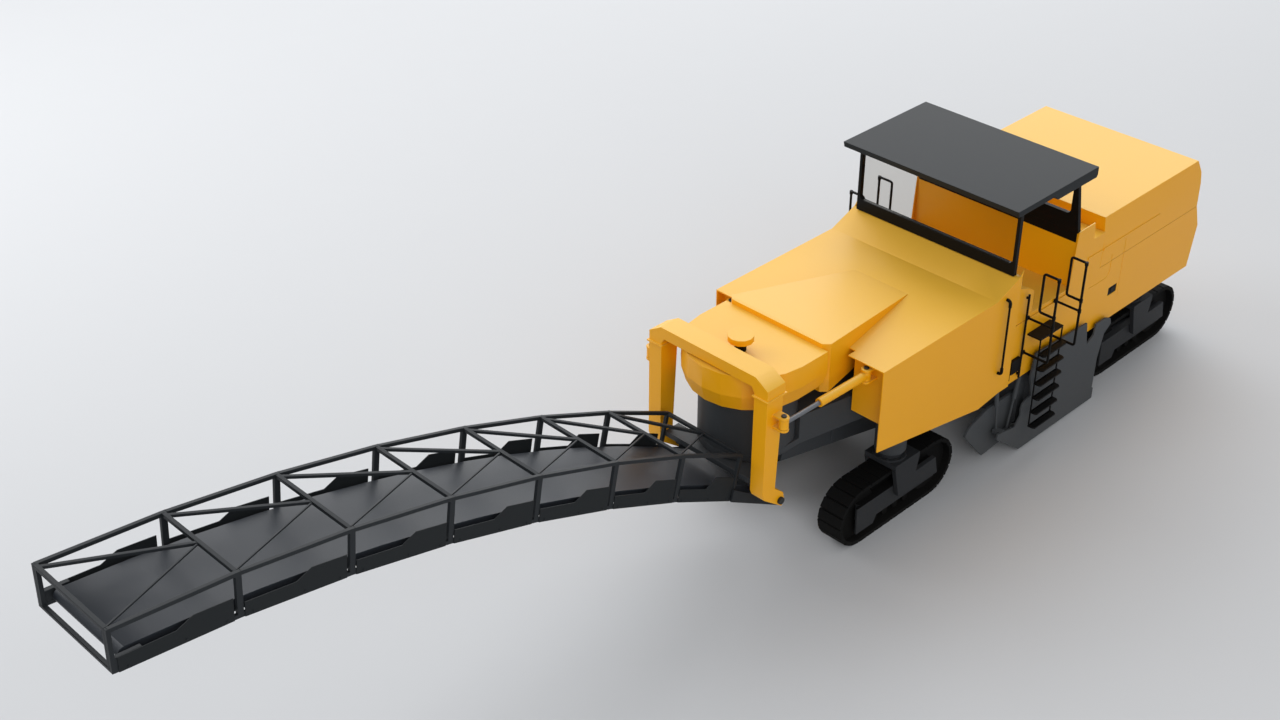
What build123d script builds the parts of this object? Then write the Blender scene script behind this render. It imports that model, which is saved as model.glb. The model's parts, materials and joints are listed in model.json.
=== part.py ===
from build123d import *
import os
from math import cos, sin, radians, hypot, pi

# Cold planer: four steered tracks, milling drum, arched discharge conveyor.
# Lengths in millimetres. Stations run forward (+X) from the fenders' front
# faces; +Y is the left side and z 0 is the ground.

# Overall stations
REAR_END = -6820.0
HALF_WIDTH = 1250.0
WALL_RECESS = 30.0
REAR_HALF = HALF_WIDTH - WALL_RECESS
SKIN = 16.0
WALL_IN = REAR_HALF - SKIN
SEAM = 0.3

# Tracks and legs
LEG_FRONT_X = -780.0
LEG_REAR_X = -5870.0
TRACK_INSET = 215.0
TRACK_W = 340.0
LEG_Y = HALF_WIDTH - TRACK_INSET - TRACK_W / 2
TRACK_HALF_LEN = 680.0
TRACK_R = 390.0
PAD_H, PAD_GAP = 26.0, 10.0
LOOP_T = 28.0
END_PADS, RUN_PADS = 8, 9
WHEEL_W, ROLLER_R, ROLLERS = 150.0, 46.0, 4
BEAM_Z0, BEAM_Z1 = 250.0, 545.0
TOE_Z, TOE_X, HEEL_X = 150.0, 760.0, -715.0
SADDLE_X0, SADDLE_X1, SADDLE_PROUD = -285.0, 170.0, 65.0
TOP_PLATE_Z0, TOP_PLATE_Z1 = 800.0, 870.0
COLUMN_R = 150.0
SLEEVE_R = 190.0

# Main frame
FRAME_INSET = 65.0
FRAME_HALF = LEG_Y - FRAME_INSET
SPINE_HALF = FRAME_HALF - 30.0
SLEEVE_Z0, FRAME_Z0, FRAME_Z1 = 960.0, 1150.0, 1500.0
COLUMN_TOP = FRAME_Z1 - 70.0
SPINE_Z0, SPINE_Z1 = 1520.0, 1900.0
SPINE_REAR, DROP_REAR = -2500.0, -2900.0
REAR_OVERHANG = 580.0
FRAME_REAR = LEG_REAR_X - REAR_OVERHANG
TIE_W = 100.0
TIE_STATIONS = (FRAME_REAR, -4750.0, DROP_REAR)

# Towing and lashing lugs under the rear end of the frame
LUG_X, LUG_Y, LUG_DROP = FRAME_REAR + 120.0, 500.0, 105.0
LUG_Z = FRAME_Z0 - LUG_DROP
LUG_BORE, LUG_T, LUG_R = 26.0, 40.0, 70.0

# Decks, hoods and operator station
DECK_Z = 2540.0
DECK_BACK = -2100.0
COWL_X, COWL_Z = -2515.0, 2700.0
FIN_X, FIN_Z = -2580.0, 2770.0
STATION_FRONT = -2560.0
STATION_REAR = -3760.0
FLOOR_Z, FLOOR_T = 2025.0, 60.0
FENDER_BOTTOM = 1465.0
FENDER_LOW_X, FENDER_LOW_Z = -1960.0, 1100.0
FENDER_IN = HALF_WIDTH - 505.0
BULK_X, BULK_T, BULK_Z0 = -130.0, 30.0, 1740.0
SILL_Z = 1130.0
STEP_X, STEP_Z = -2940.0, 2331.0
CONSOLE_X, CONSOLE_Z = -2812.0, 2409.0
BULKHEAD_T, BULKHEAD_TOP = 30.0, 2780.0
PILLAR_X0, PILLAR_X1, PILLAR_Z = -3827.0, -4110.0, 2800.0
LEDGE_Z = 2565.0
NOSE_GAP = 8.0
NOSE_X, NOSE_HALF, NOSE_Z0, NOSE_Z1 = 373.0, FENDER_IN - NOSE_GAP, 2190.0, 2816.0
NOSE_BACK_X, NOSE_BACK_HALF = -1511.0, 398.0
HOOD_FRONT, HOOD_REAR = -4390.0, -6590.0
HOOD_Z, HOOD_TUCK, LID_H = 2752.0, 35.0, 702.0
HOOD_SPLIT = HOOD_Z - LID_H
HOOD_TOP_HALF = REAR_HALF - HOOD_TUCK
HOOD_SHOULDER = 352.0
BAY_X = HOOD_FRONT + 6.0
KNEE_Z = 1725.0
TAIL_LOW_X, TAIL_TOP_X = REAR_END + 100.0, REAR_END + 120.0
HINGE_X, HINGE_Z = TAIL_TOP_X - 28.0, HOOD_SPLIT + 2
HINGE_YS = (700.0, -700.0)
HINGE_PIN, KNUCKLE_R, KNUCKLE_HALF = 10.0, 22.0, 28.0
CANOPY_X0, CANOPY_X1, CANOPY_HALF = -3872.0, -2249.0, 1280.0
CANOPY_Z1, CANOPY_FRONT_Z, CANOPY_REAR_Z = 3669.0, 3594.0, 3534.0
SCREEN_X, SCREEN_HALF, FRAME_T = -2500.0, HALF_WIDTH - 70.0, 60.0
REAR_FRAME_X, REAR_FRAME_HALF, REAR_SILL = -3780.0, HALF_WIDTH - 150.0, 220.0

# Turret and portal
AXIS_X = 800.0
TURRET_R, TURRET_SIDES = 565.0, 20
JOURNAL_R = 300.0
TURRET_Z0, CAP_Z0, CAP_KNEE, CAP_Z1 = 1600.0, 2310.0, 2500.0, 2760.0
CAP_R, CAP_TUCK = 765.0, 55.0
YOKE_X0, YOKE_X1 = 1250.0, 1490.0
YOKE_Y0, YOKE_Y1 = 685.0, 875.0
YOKE_TOP = 2920.0
YOKE_BEAM, YOKE_CORNER = 140.0, 110.0
FOOT_PIN_X, FOOT_PIN_Z = 1206.0, 1253.0
EYE_X, EYE_Y, EYE_Z = 1340.0, 985.0, 2400.0
REAR_PIN_X, REAR_PIN_Y = 0.0, HALF_WIDTH - 240
PIN_R = 28.0
EAR_GAP, EAR_T, EAR_R = 60.0, 28.0, 60.0
PIN_HEAD = 14.0
BARREL_R, ROD_R, EYE_R = 52.0, 27.0, 55.0
BARREL_LEN, ROD_START = 780.0, 420.0
FIT = 0.4

# Discharge conveyor, an arc of seven bays
BAYS = 7
ARC_R = 17940.0
ARC_A0, ARC_A1 = 29.2, 4.9
LEAN = 0.5
BAY_GROWTH = 0.0885
CHORD_X0, CHORD_Z0 = 1661.0, 1320.0
DEPTH0, DEPTH1 = 580.0, 448.0
TRUSS_HALF = 575.0
TUBE = 40.0
TAIL_Y0, TAIL_Y1 = 585.0, 610.0
SKIRT_T, SKIRT_LOW = 8.0, 150.0
BELT_HALF, BELT_T = 500.0, 16.0
ROLL_H, ROLL_R, SHAFT_R = 94.0, 64.0, 20.0

# Drum, its chamber and the side plates
DRUM_X, DRUM_Z = -3640.0, 530.0
DRUM_R, CUT_R = 400.0, 500.0
DRUM_HALF = HALF_WIDTH - 200
STUB_R = 110.0
CHAMBER_HALF = DRUM_HALF + 60
CHAMBER_T, CHAMBER_LEN = 30.0, 640.0
CHAMBER_CLEAR = 40.0
PICKS, PICK_L, PICK_W = 48, 70.0, 44.0
SHOE_X, SHOE_T = -2000.0, 40.0
PLATE_Y = HALF_WIDTH + 8.0
PLATE_T = 25.0
PLATE_Z0 = 20.0
LIFT_Y = WALL_IN - 36.0
LIFT_BARREL_R, LIFT_ROD_R, LIFT_TOP_Z = 30.0, 15.0, 1300.0

# Lower conveyor
FEED_X0, FEED_Z0, FEED_X1, FEED_Z1 = -2990.0, 380.0, 640.0, 1235.0
FEED_HALF, FEED_WALL, HANGER_T = 390.0, 30.0, 20.0

# Ladders and handrails
LADDER_Y, TREAD_DEPTH, TREAD_T = HALF_WIDTH + 160.0, 92.0, 22.0
LADDER_X0, LADDER_X1, LADDER_TOP = -3365.0, -2885.0, 1750.0
TREADS, TREAD_STEP = 6, 210.0
RAIL_W = 32.0
RAIL_Y0, RAIL_Y1 = HALF_WIDTH + 112.0, HALF_WIDTH + 318.0
HOOPS = (-2850.0, -3420.0)
HOOP_FOOT, HOOP_RUNG, HOOP_LOW, HOOP_TOP = 1500.0, 1990.0, 2134.0, 2658.0

parts = {}


def put(name, shape):
    parts[name] = shape


def box(x0, x1, y0, y1, z0, z1):
    s = Box(x1 - x0, y1 - y0, z1 - z0)
    return Pos((x0 + x1) / 2, (y0 + y1) / 2, (z0 + z1) / 2) * s


def prism(points, plane, a, b):
    # Straight prism from a polygon in the XZ ("y"), XY ("z") or YZ ("x") plane.
    if plane == "y":
        pts, d = [(p, a, q) for p, q in points], (0, 1, 0)
    elif plane == "z":
        pts, d = [(p, q, a) for p, q in points], (0, 0, 1)
    else:
        pts, d = [(a, p, q) for p, q in points], (1, 0, 0)
    face = Face(Wire.make_polygon([Vector(*p) for p in pts], close=True))
    return extrude(face, abs(b - a), dir=d if b > a else tuple(-v for v in d))


def rod(p, q, r):
    p, q = Vector(*p), Vector(*q)
    d = q - p
    plane = Plane(origin=p, z_dir=d)
    return plane * Cylinder(r, d.length, align=(Align.CENTER, Align.CENTER, Align.MIN))


def bar(p, q, w, h, up=(0, 0, 1)):
    # Rectangular bar between two points, w across and h along the up side.
    p, q = Vector(*p), Vector(*q)
    d = q - p
    if hypot(d.X, d.Y) < 1e-6:
        up = (1, 0, 0)
    side = Vector(*up).cross(d).normalized()
    plane = Plane(origin=p, x_dir=side, z_dir=d)
    return plane * Box(w, h, d.length, align=(Align.CENTER, Align.CENTER, Align.MIN))


def ring_points(x, y, r, sides):
    steps = [2 * pi * k / sides for k in range(sides)]
    return [(x + r * cos(a), y + r * sin(a)) for a in steps]


def flat_pin_y(x, z, r, y0, y1, sides=16):
    # Many-sided disc or boss lying across the machine.
    return prism(ring_points(x, z, r, sides), "y", y0, y1)


def flat_pin_z(x, y, r, z0, z1, sides=16):
    return prism(ring_points(x, y, r, sides), "z", z0, z1)


def flat_rod(p, q, r, sides=12):
    # Many-sided rod between two points.
    p, q = Vector(*p), Vector(*q)
    face = Plane(origin=p, z_dir=q - p) * RegularPolygon(r, sides)
    return extrude(face, (q - p).length, dir=tuple((q - p).normalized()))


def bar_path(points, w):
    # Square bars end to end, each run on by half its width to fill the corners.
    bits = []
    for p, q in zip(points, points[1:]):
        p, q = Vector(*p), Vector(*q)
        d = (q - p).normalized() * (w / 2)
        bits.append(bar(tuple(p - d), tuple(q + d), w, w))
    return bits


def pin_y(x, z, r, y0, y1):
    return rod((x, y0, z), (x, y1, z), r)


def pin_z(x, y, r, z0, z1):
    return rod((x, y, z0), (x, y, z1), r)


def mirror_y(shape):
    return mirror(shape, about=Plane.XZ)


def both_sides(*shapes):
    return Compound(children=[s for shape in shapes for s in (shape, mirror_y(shape))])


def fuse(items):
    items = list(items)
    out = items[0]
    return out.fuse(*items[1:]) if len(items) > 1 else out


# Main frame: nose beam, spine, rear box, cross ties and sleeves round the columns
def frame_lug(y):
    y0, y1 = y - LUG_T / 2, y + LUG_T / 2
    ear = box(LUG_X - LUG_R, LUG_X + LUG_R, y0, y1, LUG_Z, FRAME_Z0 + 10)
    ear = ear + flat_pin_y(LUG_X, LUG_Z, LUG_R, y0, y1)
    return ear - pin_y(LUG_X, LUG_Z, LUG_BORE, y0 - 1, y1 + 1)


def frame_gusset():
    # Plate hanging from the spine's side down to the shoe in front of the drum.
    outline = [(-1540, SPINE_Z0 + 10), (-1660, 950), (SHOE_X, 830), (-2860, 830),
               (DROP_REAR + 10, FRAME_Z0 + 10), (SPINE_REAR, SPINE_Z0 + 10)]
    return prism(outline, "y", SPINE_HALF, SPINE_HALF + SKIN)


def main_frame():
    neck_x = 550.0
    nose = prism([(-450, -SPINE_HALF), (neck_x, -TURRET_R), (neck_x, TURRET_R),
                  (-450, SPINE_HALF)], "z", SPINE_Z0, SPINE_Z1)
    spine = box(SPINE_REAR, -440, -SPINE_HALF, SPINE_HALF, SPINE_Z0, SPINE_Z1)
    drop = box(DROP_REAR, SPINE_REAR + 100, -SPINE_HALF, SPINE_HALF, FRAME_Z0, SPINE_Z1)
    rear = box(FRAME_REAR, DROP_REAR + 100, -FRAME_HALF, FRAME_HALF, FRAME_Z0, FRAME_Z1)
    ties = [box(x, x + TIE_W, -WALL_IN, WALL_IN, FRAME_Z0 + 20, FRAME_Z1 - 60)
            for x in TIE_STATIONS]
    gussets = [frame_gusset(), mirror_y(frame_gusset())]
    lift_lug = box(DROP_REAR - 130, DROP_REAR + 10, LIFT_Y - 22, WALL_IN,
                   LIFT_TOP_Z - 50, LIFT_TOP_Z + 50)
    solid = fuse([nose, spine, drop, rear, lift_lug, mirror_y(lift_lug)] + ties + gussets
                 + [frame_lug(LUG_Y), frame_lug(-LUG_Y)])
    for x, top in ((LEG_FRONT_X, SPINE_Z1), (LEG_REAR_X, FRAME_Z1)):
        for y in (LEG_Y, -LEG_Y):
            solid = solid + flat_pin_z(x, y, SLEEVE_R, SLEEVE_Z0, top, 24)
    for x in (LEG_FRONT_X, LEG_REAR_X):
        for y in (LEG_Y, -LEG_Y):
            solid = solid - pin_z(x, y, COLUMN_R + FIT, SLEEVE_Z0 - 10, COLUMN_TOP + 10)
    # The nose wraps the turret column and carries it on a round neck.
    recess = flat_pin_z(AXIS_X, 0, TURRET_R + SEAM, TURRET_Z0, SPINE_Z1 + 10, TURRET_SIDES)
    solid = solid - recess
    neck = prism([(300, -TURRET_R), (AXIS_X, -TURRET_R), (AXIS_X, TURRET_R), (300, TURRET_R)],
                 "z", SPINE_Z0, TURRET_Z0)
    neck = neck + flat_pin_z(AXIS_X, 0, TURRET_R, SPINE_Z0, TURRET_Z0, TURRET_SIDES)
    bore_sides = 24
    bore = JOURNAL_R / cos(pi / bore_sides)
    return (solid + neck) - flat_pin_z(AXIS_X, 0, bore, SPINE_Z0 - 10, TURRET_Z0 + 1, bore_sides)


put("main_frame", main_frame())


# Twenty-sided turret column on its round journal
def turret_column():
    body = flat_pin_z(AXIS_X, 0, TURRET_R, TURRET_Z0, CAP_Z0, TURRET_SIDES)
    journal = pin_z(AXIS_X, 0, JOURNAL_R, SPINE_Z0 - 90, TURRET_Z0)
    return body + journal


put("turret_column", turret_column())


# Cap over the turret: ten flats round the front, straight sides to the nose hood
def cap_outline(r):
    half = TURRET_SIDES // 4
    front = [(AXIS_X + r * cos(radians(360.0 * k / TURRET_SIDES)),
              r * sin(radians(360.0 * k / TURRET_SIDES))) for k in range(-half, half + 1)]
    return front + [(NOSE_X, r), (NOSE_X, -r)]


def turret_cap():
    levels = ((CAP_Z0, CAP_R - CAP_TUCK), (CAP_KNEE, CAP_R), (CAP_Z1, CAP_R - 10))
    wires = [Wire.make_polygon([Vector(x, y, z) for x, y in cap_outline(r)], close=True)
             for z, r in levels]
    lower, upper = [Solid.make_loft(list(pair), ruled=True) for pair in zip(wires, wires[1:])]
    return lower + upper


put("turret_cap", turret_cap())


# Twelve-sided filler cap on a narrower neck
FILLER_X, FILLER_Y, FILLER_R = 1018.0, 55.0, 148.0
FILLER_NECK_R, FILLER_NECK_H, FILLER_H = 62.0, 125.0, 70.0


def filler_cap():
    z = CAP_Z1 + FILLER_NECK_H
    neck = flat_pin_z(FILLER_X, FILLER_Y, FILLER_NECK_R, CAP_Z1, z, 12)
    return neck + flat_pin_z(FILLER_X, FILLER_Y, FILLER_R, z, z + FILLER_H, 12)


put("filler_cap", filler_cap())


# Wedge-shaped nose hood, sloping down and narrowing to the deck
def nose_hood():
    x0, x1 = NOSE_X, NOSE_BACK_X
    w1, z1 = NOSE_BACK_HALF, DECK_Z
    b = 70.0
    top = [(x0, -NOSE_HALF + b, NOSE_Z1), (x0, NOSE_HALF - b, NOSE_Z1),
           (x0 - b, NOSE_HALF, NOSE_Z1), (x1, w1, z1 + 2), (x1, -w1, z1 + 2),
           (x0 - b, -NOSE_HALF, NOSE_Z1)]
    low = [(x0, -NOSE_HALF + b, NOSE_Z0), (x0, NOSE_HALF - b, NOSE_Z0),
           (x0 - b, NOSE_HALF, NOSE_Z0), (x1, w1, NOSE_Z0), (x1, -w1, NOSE_Z0),
           (x0 - b, -NOSE_HALF, NOSE_Z0)]
    faces = []
    n = len(top)
    faces.append(Face(Wire.make_polygon([Vector(*p) for p in low], close=True)))
    front = [top[5], top[0], top[1], top[2]]
    # The top is flat across the front bevels and one sloping plane behind them.
    for tri in ((front), ([top[5], top[2], top[3], top[4]])):
        faces.append(Face(Wire.make_polygon([Vector(*p) for p in tri], close=True)))
    for i in range(n):
        j = (i + 1) % n
        quad = [low[i], low[j], top[j], top[i]]
        faces.append(Face(Wire.make_polygon([Vector(*p) for p in quad], close=True)))
    return Solid(Shell(faces)) - pin_z(AXIS_X, 0, TURRET_R, NOSE_Z0 - 10, CAP_Z0)


put("nose_hood", nose_hood())


# Front fender: thin outer skin, deck and a recessed front bulkhead
SIDE_OUTLINE = [(0, FENDER_BOTTOM), (FENDER_LOW_X, FENDER_LOW_Z), (STATION_FRONT + 200, SILL_Z + 20),
                (STATION_FRONT, SILL_Z + 20), (STATION_FRONT, DECK_Z - 30),
                (STATION_FRONT + 13, DECK_Z + 100), (FIN_X, FIN_Z), (COWL_X, COWL_Z),
                (DECK_BACK, DECK_Z), (0, DECK_Z)]


COWL = [(DECK_BACK, DECK_Z - SKIN), (DECK_BACK, DECK_Z), (COWL_X, COWL_Z),
        (STATION_FRONT, COWL_Z), (STATION_FRONT, COWL_Z - SKIN), (COWL_X, COWL_Z - SKIN)]


def fender():
    front = BULK_X - BULK_T
    skin = prism(SIDE_OUTLINE, "y", HALF_WIDTH - SKIN, HALF_WIDTH)
    deck = box(DECK_BACK, 0, FENDER_IN, HALF_WIDTH, DECK_Z - SKIN, DECK_Z)
    bulk = box(front, BULK_X, FENDER_IN, HALF_WIDTH, BULK_Z0, DECK_Z)
    cowl = prism(COWL, "y", FENDER_IN, HALF_WIDTH)
    inner = box(STATION_FRONT, front, FENDER_IN, FENDER_IN + SKIN, SPINE_Z1, DECK_Z)
    x1 = STATION_FRONT + SKIN
    back = box(STATION_FRONT, x1, FENDER_IN, HALF_WIDTH, SPINE_Z1, COWL_Z)
    low_in = SPINE_HALF + SKIN + SEAM
    back = back + box(STATION_FRONT, x1, low_in, HALF_WIDTH, SILL_Z + 20, SPINE_Z1 + 1)
    lift_lug = box(x1 - 1, x1 + 160, LIFT_Y - 22, LIFT_Y + 22, LIFT_TOP_Z - 50, LIFT_TOP_Z + 50)
    return fuse([skin, deck, bulk, cowl, inner, back, lift_lug])


put("fender_left", fender())
put("fender_right", mirror_y(parts["fender_left"]))


# Centre deck between the fenders, cut out under the nose hood
def centre_deck():
    deck = box(DECK_BACK, BULK_X, -FENDER_IN, FENDER_IN, DECK_Z - SKIN, DECK_Z)
    cowl = prism(COWL, "y", -FENDER_IN, FENDER_IN)
    return (deck + cowl) - parts["nose_hood"]


put("centre_deck", centre_deck())


# Operator platform: floor, front console and the two side sills
def platform():
    well_half, well_x = WALL_IN - 104, STATION_FRONT - 80
    floor = box(STATION_REAR, STATION_FRONT, -WALL_IN, WALL_IN, FLOOR_Z - FLOOR_T, FLOOR_Z)
    console = prism([(STATION_FRONT, FLOOR_Z), (STATION_FRONT, DECK_Z - 40),
                     (CONSOLE_X, CONSOLE_Z), (STEP_X, STEP_Z), (STEP_X, FLOOR_Z)],
                    "y", -WALL_IN, WALL_IN)
    well = box(STEP_X - 5, well_x, -well_half, well_half, FLOOR_Z, DECK_Z + 60)
    return floor + (console - well)


put("operator_platform", platform())


def side_wall():
    front = STATION_FRONT - SEAM
    under_floor = FLOOR_Z - FLOOR_T
    outline = [(front, SILL_Z + 10), (BAY_X - 516, SILL_Z), (TAIL_LOW_X, SILL_Z),
               (REAR_END, KNEE_Z), (TAIL_TOP_X, HOOD_SPLIT), (BAY_X, HOOD_SPLIT),
               (BAY_X, LEDGE_Z), (PILLAR_X1 - 25, LEDGE_Z), (PILLAR_X1, PILLAR_Z),
               (PILLAR_X0, PILLAR_Z), (STATION_REAR, BULKHEAD_TOP + 10),
               (STATION_REAR + 60, under_floor), (front, under_floor)]
    return prism(outline, "y", WALL_IN, REAR_HALF)


put("side_walls", both_sides(side_wall()))


# Bulkhead behind the operator, with the shelf that reaches back to the hood
def rear_bulkhead():
    back = STATION_REAR - BULKHEAD_T
    wall = box(back, STATION_REAR, -WALL_IN, WALL_IN, FRAME_Z1, BULKHEAD_TOP)
    shelf = box(BAY_X, back + 10, -WALL_IN, WALL_IN, LEDGE_Z - 25, LEDGE_Z)
    return wall + shelf


put("rear_bulkhead", rear_bulkhead())


# Rear hood: one hollow lid over the engine, hinged at the tail
def rear_hood():
    y0, y1 = REAR_HALF, HOOD_TOP_HALF
    low = HOOD_SPLIT + 4
    back, knee = TAIL_TOP_X, (TAIL_TOP_X + 20, LEDGE_Z - 5)
    side = [(HOOD_FRONT, low), (back, low), knee, (HOOD_REAR + 10, HOOD_Z), (HOOD_FRONT, HOOD_Z)]
    outer = prism(side, "y", -y0, y0)
    shoulder = HOOD_Z - HOOD_SHOULDER
    slope = prism([(-y0, SILL_Z), (y0, SILL_Z), (y0, shoulder), (y1, HOOD_Z + 1),
                   (-y1, HOOD_Z + 1), (-y0, shoulder)], "x", REAR_END - 10, HOOD_FRONT + 10)
    outer = outer & slope
    ceiling, half = HOOD_Z - SKIN, y1 - SKIN - 5
    inner = prism([(HOOD_FRONT - SKIN, low - 14), (back + SKIN, low - 14),
                   (knee[0] + SKIN, knee[1] - 10), (HOOD_REAR + 20, ceiling),
                   (HOOD_FRONT - SKIN, ceiling)], "y", -half, half)
    lid = outer - inner
    for y in HINGE_YS:
        a, b = y - KNUCKLE_HALF, y + KNUCKLE_HALF
        arm = box(HINGE_X, TAIL_TOP_X + 10, a, b, HINGE_Z + 3, HINGE_Z + KNUCKLE_R)
        knuckle = flat_pin_y(HINGE_X, HINGE_Z, KNUCKLE_R, a, b) + arm
        lid = lid + (knuckle - pin_y(HINGE_X, HINGE_Z, HINGE_PIN + SEAM, a - 1, b + 1))
    return lid


# Tail panel with the forked brackets and pins of the hood's hinges
def tail_panel():
    lean = 5.0
    outside = [(TAIL_LOW_X + lean, SILL_Z + 10), (REAR_END + 2 * lean, KNEE_Z),
               (TAIL_TOP_X + lean, HOOD_SPLIT)]
    inside = [(x + SKIN, z) for x, z in reversed(outside)]
    panel = prism(outside + inside, "y", -WALL_IN, WALL_IN)
    ear_t, ear_r, near = 20.0, 18.0, KNUCKLE_HALF + 2
    for y in HINGE_YS:
        for a, b in ((y - near - ear_t, y - near), (y + near, y + near + ear_t)):
            ear = box(HINGE_X - ear_r, TAIL_TOP_X - 5, a, b, HINGE_Z - 90, HINGE_Z)
            panel = panel + ear + flat_pin_y(HINGE_X, HINGE_Z, ear_r, a, b)
        far = near + ear_t
        panel = panel + pin_y(HINGE_X, HINGE_Z, HINGE_PIN, y - far, y + far)
    return panel


put("rear_hood", rear_hood())
put("tail_panel", tail_panel())
put("engine_block", box(-6300, -4650, -560, 560, FRAME_Z1, LEDGE_Z - 5))


# Windscreen and rear frames, each a plate with a round-cornered opening
def window_opening(z0, z1, half, sill, post, inset=0.0):
    head, corner = 20.0, 60.0
    with BuildSketch(Plane.YZ) as sketch:
        with Locations((0, (sill - head) / 2)):
            RectangleRounded(2 * (half - post - inset), z1 - z0 - sill - head - 2 * inset,
                             corner - inset)
    return sketch.sketch


def window_frame(x, z0, z1, sill, post, foot_half=SCREEN_HALF, half=SCREEN_HALF):
    zc = (z0 + z1) / 2
    plate = prism([(-foot_half, z0), (foot_half, z0), (half, z1), (-half, z1)],
                  "x", x - FRAME_T / 2, x + FRAME_T / 2)
    opening = extrude(window_opening(z0, z1, half, sill, post), FRAME_T, both=True)
    return plate - Pos(x, 0, zc) * opening


SCREEN = (COWL_Z, CANOPY_FRONT_Z - SEAM)
SCREEN_SILL, SCREEN_POST = 150.0, 42.0
put("windscreen_frame", window_frame(SCREEN_X, *SCREEN, SCREEN_SILL, SCREEN_POST))
put("windscreen_glass", Pos(SCREEN_X, 0, sum(SCREEN) / 2)
    * extrude(window_opening(*SCREEN, SCREEN_HALF, SCREEN_SILL, SCREEN_POST, 0.5), 5, both=True))
put("rear_frame", window_frame(REAR_FRAME_X, BULKHEAD_TOP, CANOPY_REAR_Z - SEAM, REAR_SILL,
                               SCREEN_POST, WALL_IN, REAR_FRAME_HALF))


# Canopy with its deeper rear fascia and chamfered rear edge
def canopy():
    step_x = -2980.0
    return prism([(CANOPY_X0, CANOPY_Z1), (CANOPY_X1, CANOPY_Z1), (CANOPY_X1 - 20, CANOPY_FRONT_Z),
                  (step_x, CANOPY_FRONT_Z), (step_x - 70, CANOPY_REAR_Z),
                  (CANOPY_X0 + 20, CANOPY_REAR_Z), (CANOPY_X0, CANOPY_REAR_Z + 34)],
                 "y", -CANOPY_HALF, CANOPY_HALF)


put("canopy", canopy())


# Arc of the conveyor: point at bay position s, h above the lower chord line
def arc_pt(s, h=0.0):
    t = s / BAYS * (1 - BAY_GROWTH + BAY_GROWTH * s / BAYS)
    a0, a = radians(ARC_A0), radians(ARC_A0 + (ARC_A1 - ARC_A0) * t)
    x = CHORD_X0 + ARC_R * (sin(a0) - sin(a)) - h * sin(LEAN * a)
    z = CHORD_Z0 + ARC_R * (cos(a) - cos(a0)) + h * cos(LEAN * a)
    return x, z


def depth(s):
    return DEPTH0 + (DEPTH1 - DEPTH0) * s / BAYS


def strip(s0, s1, h0, h1, y0, y1, n=1):
    # Plate or solid strip following the arc, h0..h1 above the lower chord.
    ss = [s0 + (s1 - s0) * i / n for i in range(n + 1)]
    low = [arc_pt(s, h0) for s in ss]
    high = [arc_pt(s, h1) for s in reversed(ss)]
    return prism(low + high, "y", y0, y1)


# One side frame: chords, posts, and the tail plate down to the foot pin
def truss_side():
    y0, y1 = TRUSS_HALF - TUBE, TRUSS_HALF
    ym = (y0 + y1) / 2
    bits = [strip(0, BAYS, 0, TUBE, y0, y1, BAYS)]
    for i in range(BAYS):
        a, b = arc_pt(i, depth(i) - TUBE), arc_pt(i + 1, depth(i + 1) - TUBE)
        c, d = arc_pt(i + 1, depth(i + 1)), arc_pt(i, depth(i))
        bits.append(prism([a, b, c, d], "y", y0, y1))
    for i in range(BAYS + 1):
        p, q = arc_pt(i, 2), arc_pt(i, depth(i) - 2)
        bits.append(bar((p[0], ym, p[1]), (q[0], ym, q[1]), TUBE, 1.5 * TUBE if i % BAYS else TUBE))
    bits.append(strip(BAYS - 0.22, BAYS, TUBE, 150, y0, y1))
    tail = [arc_pt(0.05, 0), arc_pt(0.05, 150), arc_pt(-0.25, 120), arc_pt(-0.62, 160),
            arc_pt(-0.95, 160), arc_pt(-0.95, 0)]
    bits.append(prism(tail, "y", TAIL_Y0, TAIL_Y1))
    bits.append(flat_pin_y(FOOT_PIN_X, FOOT_PIN_Z, 2.5 * PIN_R, TAIL_Y0, TAIL_Y1))
    for h in (TUBE / 2, 110):
        bits.append(flat_pin_y(*arc_pt(0, h), TUBE / 2 - 4, y0 + 10, TAIL_Y0 + 5, 8))
    bits.append(pin_y(FOOT_PIN_X, FOOT_PIN_Z, PIN_R, TAIL_Y0, 905))
    return fuse(bits)


# Top lattice between the side frames: a cross bar at each post, a heavy and a
# light brace in each bay, and the end frame at the tip
def truss_bracing():
    y0 = TRUSS_HALF - TUBE
    bits = []
    for i in range(BAYS + 1):
        p = arc_pt(i, depth(i) - TUBE / 2)
        bits.append(bar((p[0], -y0, p[1]), (p[0], y0, p[1]), TUBE, TUBE))
    for i in range(BAYS):
        p, q = arc_pt(i, depth(i) - TUBE / 2), arc_pt(i + 1, depth(i + 1) - TUBE / 2)
        bits.append(bar((p[0], 0, p[1]), (q[0], -y0 + 25, q[1]), 34, 30))
        bits.append(bar((p[0], 0, p[1]), (q[0], y0 - 15, q[1]), 18, 18))
    # End frame round the tip roller
    p, q = arc_pt(BAYS, TUBE / 2), arc_pt(BAYS, DEPTH1 - TUBE / 2)
    bits.append(bar((p[0], -y0, p[1]), (p[0], y0, p[1]), TUBE, TUBE))
    for y in (y0 - 15, 15 - y0):
        bits.append(bar((p[0], y, p[1]), (q[0], y, q[1]), 30, TUBE))
    return fuse(bits)


put("truss_side_left", truss_side())
put("truss_side_right", mirror_y(parts["truss_side_left"]))
put("truss_bracing", truss_bracing())


def conveyor_skirts():
    out = []
    for i in range(BAYS):
        high = depth(i) * 0.50
        pts = [arc_pt(i + 0.06, 0), arc_pt(i + 0.97, 0), arc_pt(i + 0.97, SKIRT_LOW),
               arc_pt(i + 0.52, SKIRT_LOW), arc_pt(i + 0.38, high), arc_pt(i + 0.06, high)]
        for sgn in (1, -1):
            out.append(prism(pts, "y", *sorted((sgn * TRUSS_HALF, sgn * (TRUSS_HALF + SKIRT_T)))))
    return out


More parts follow.
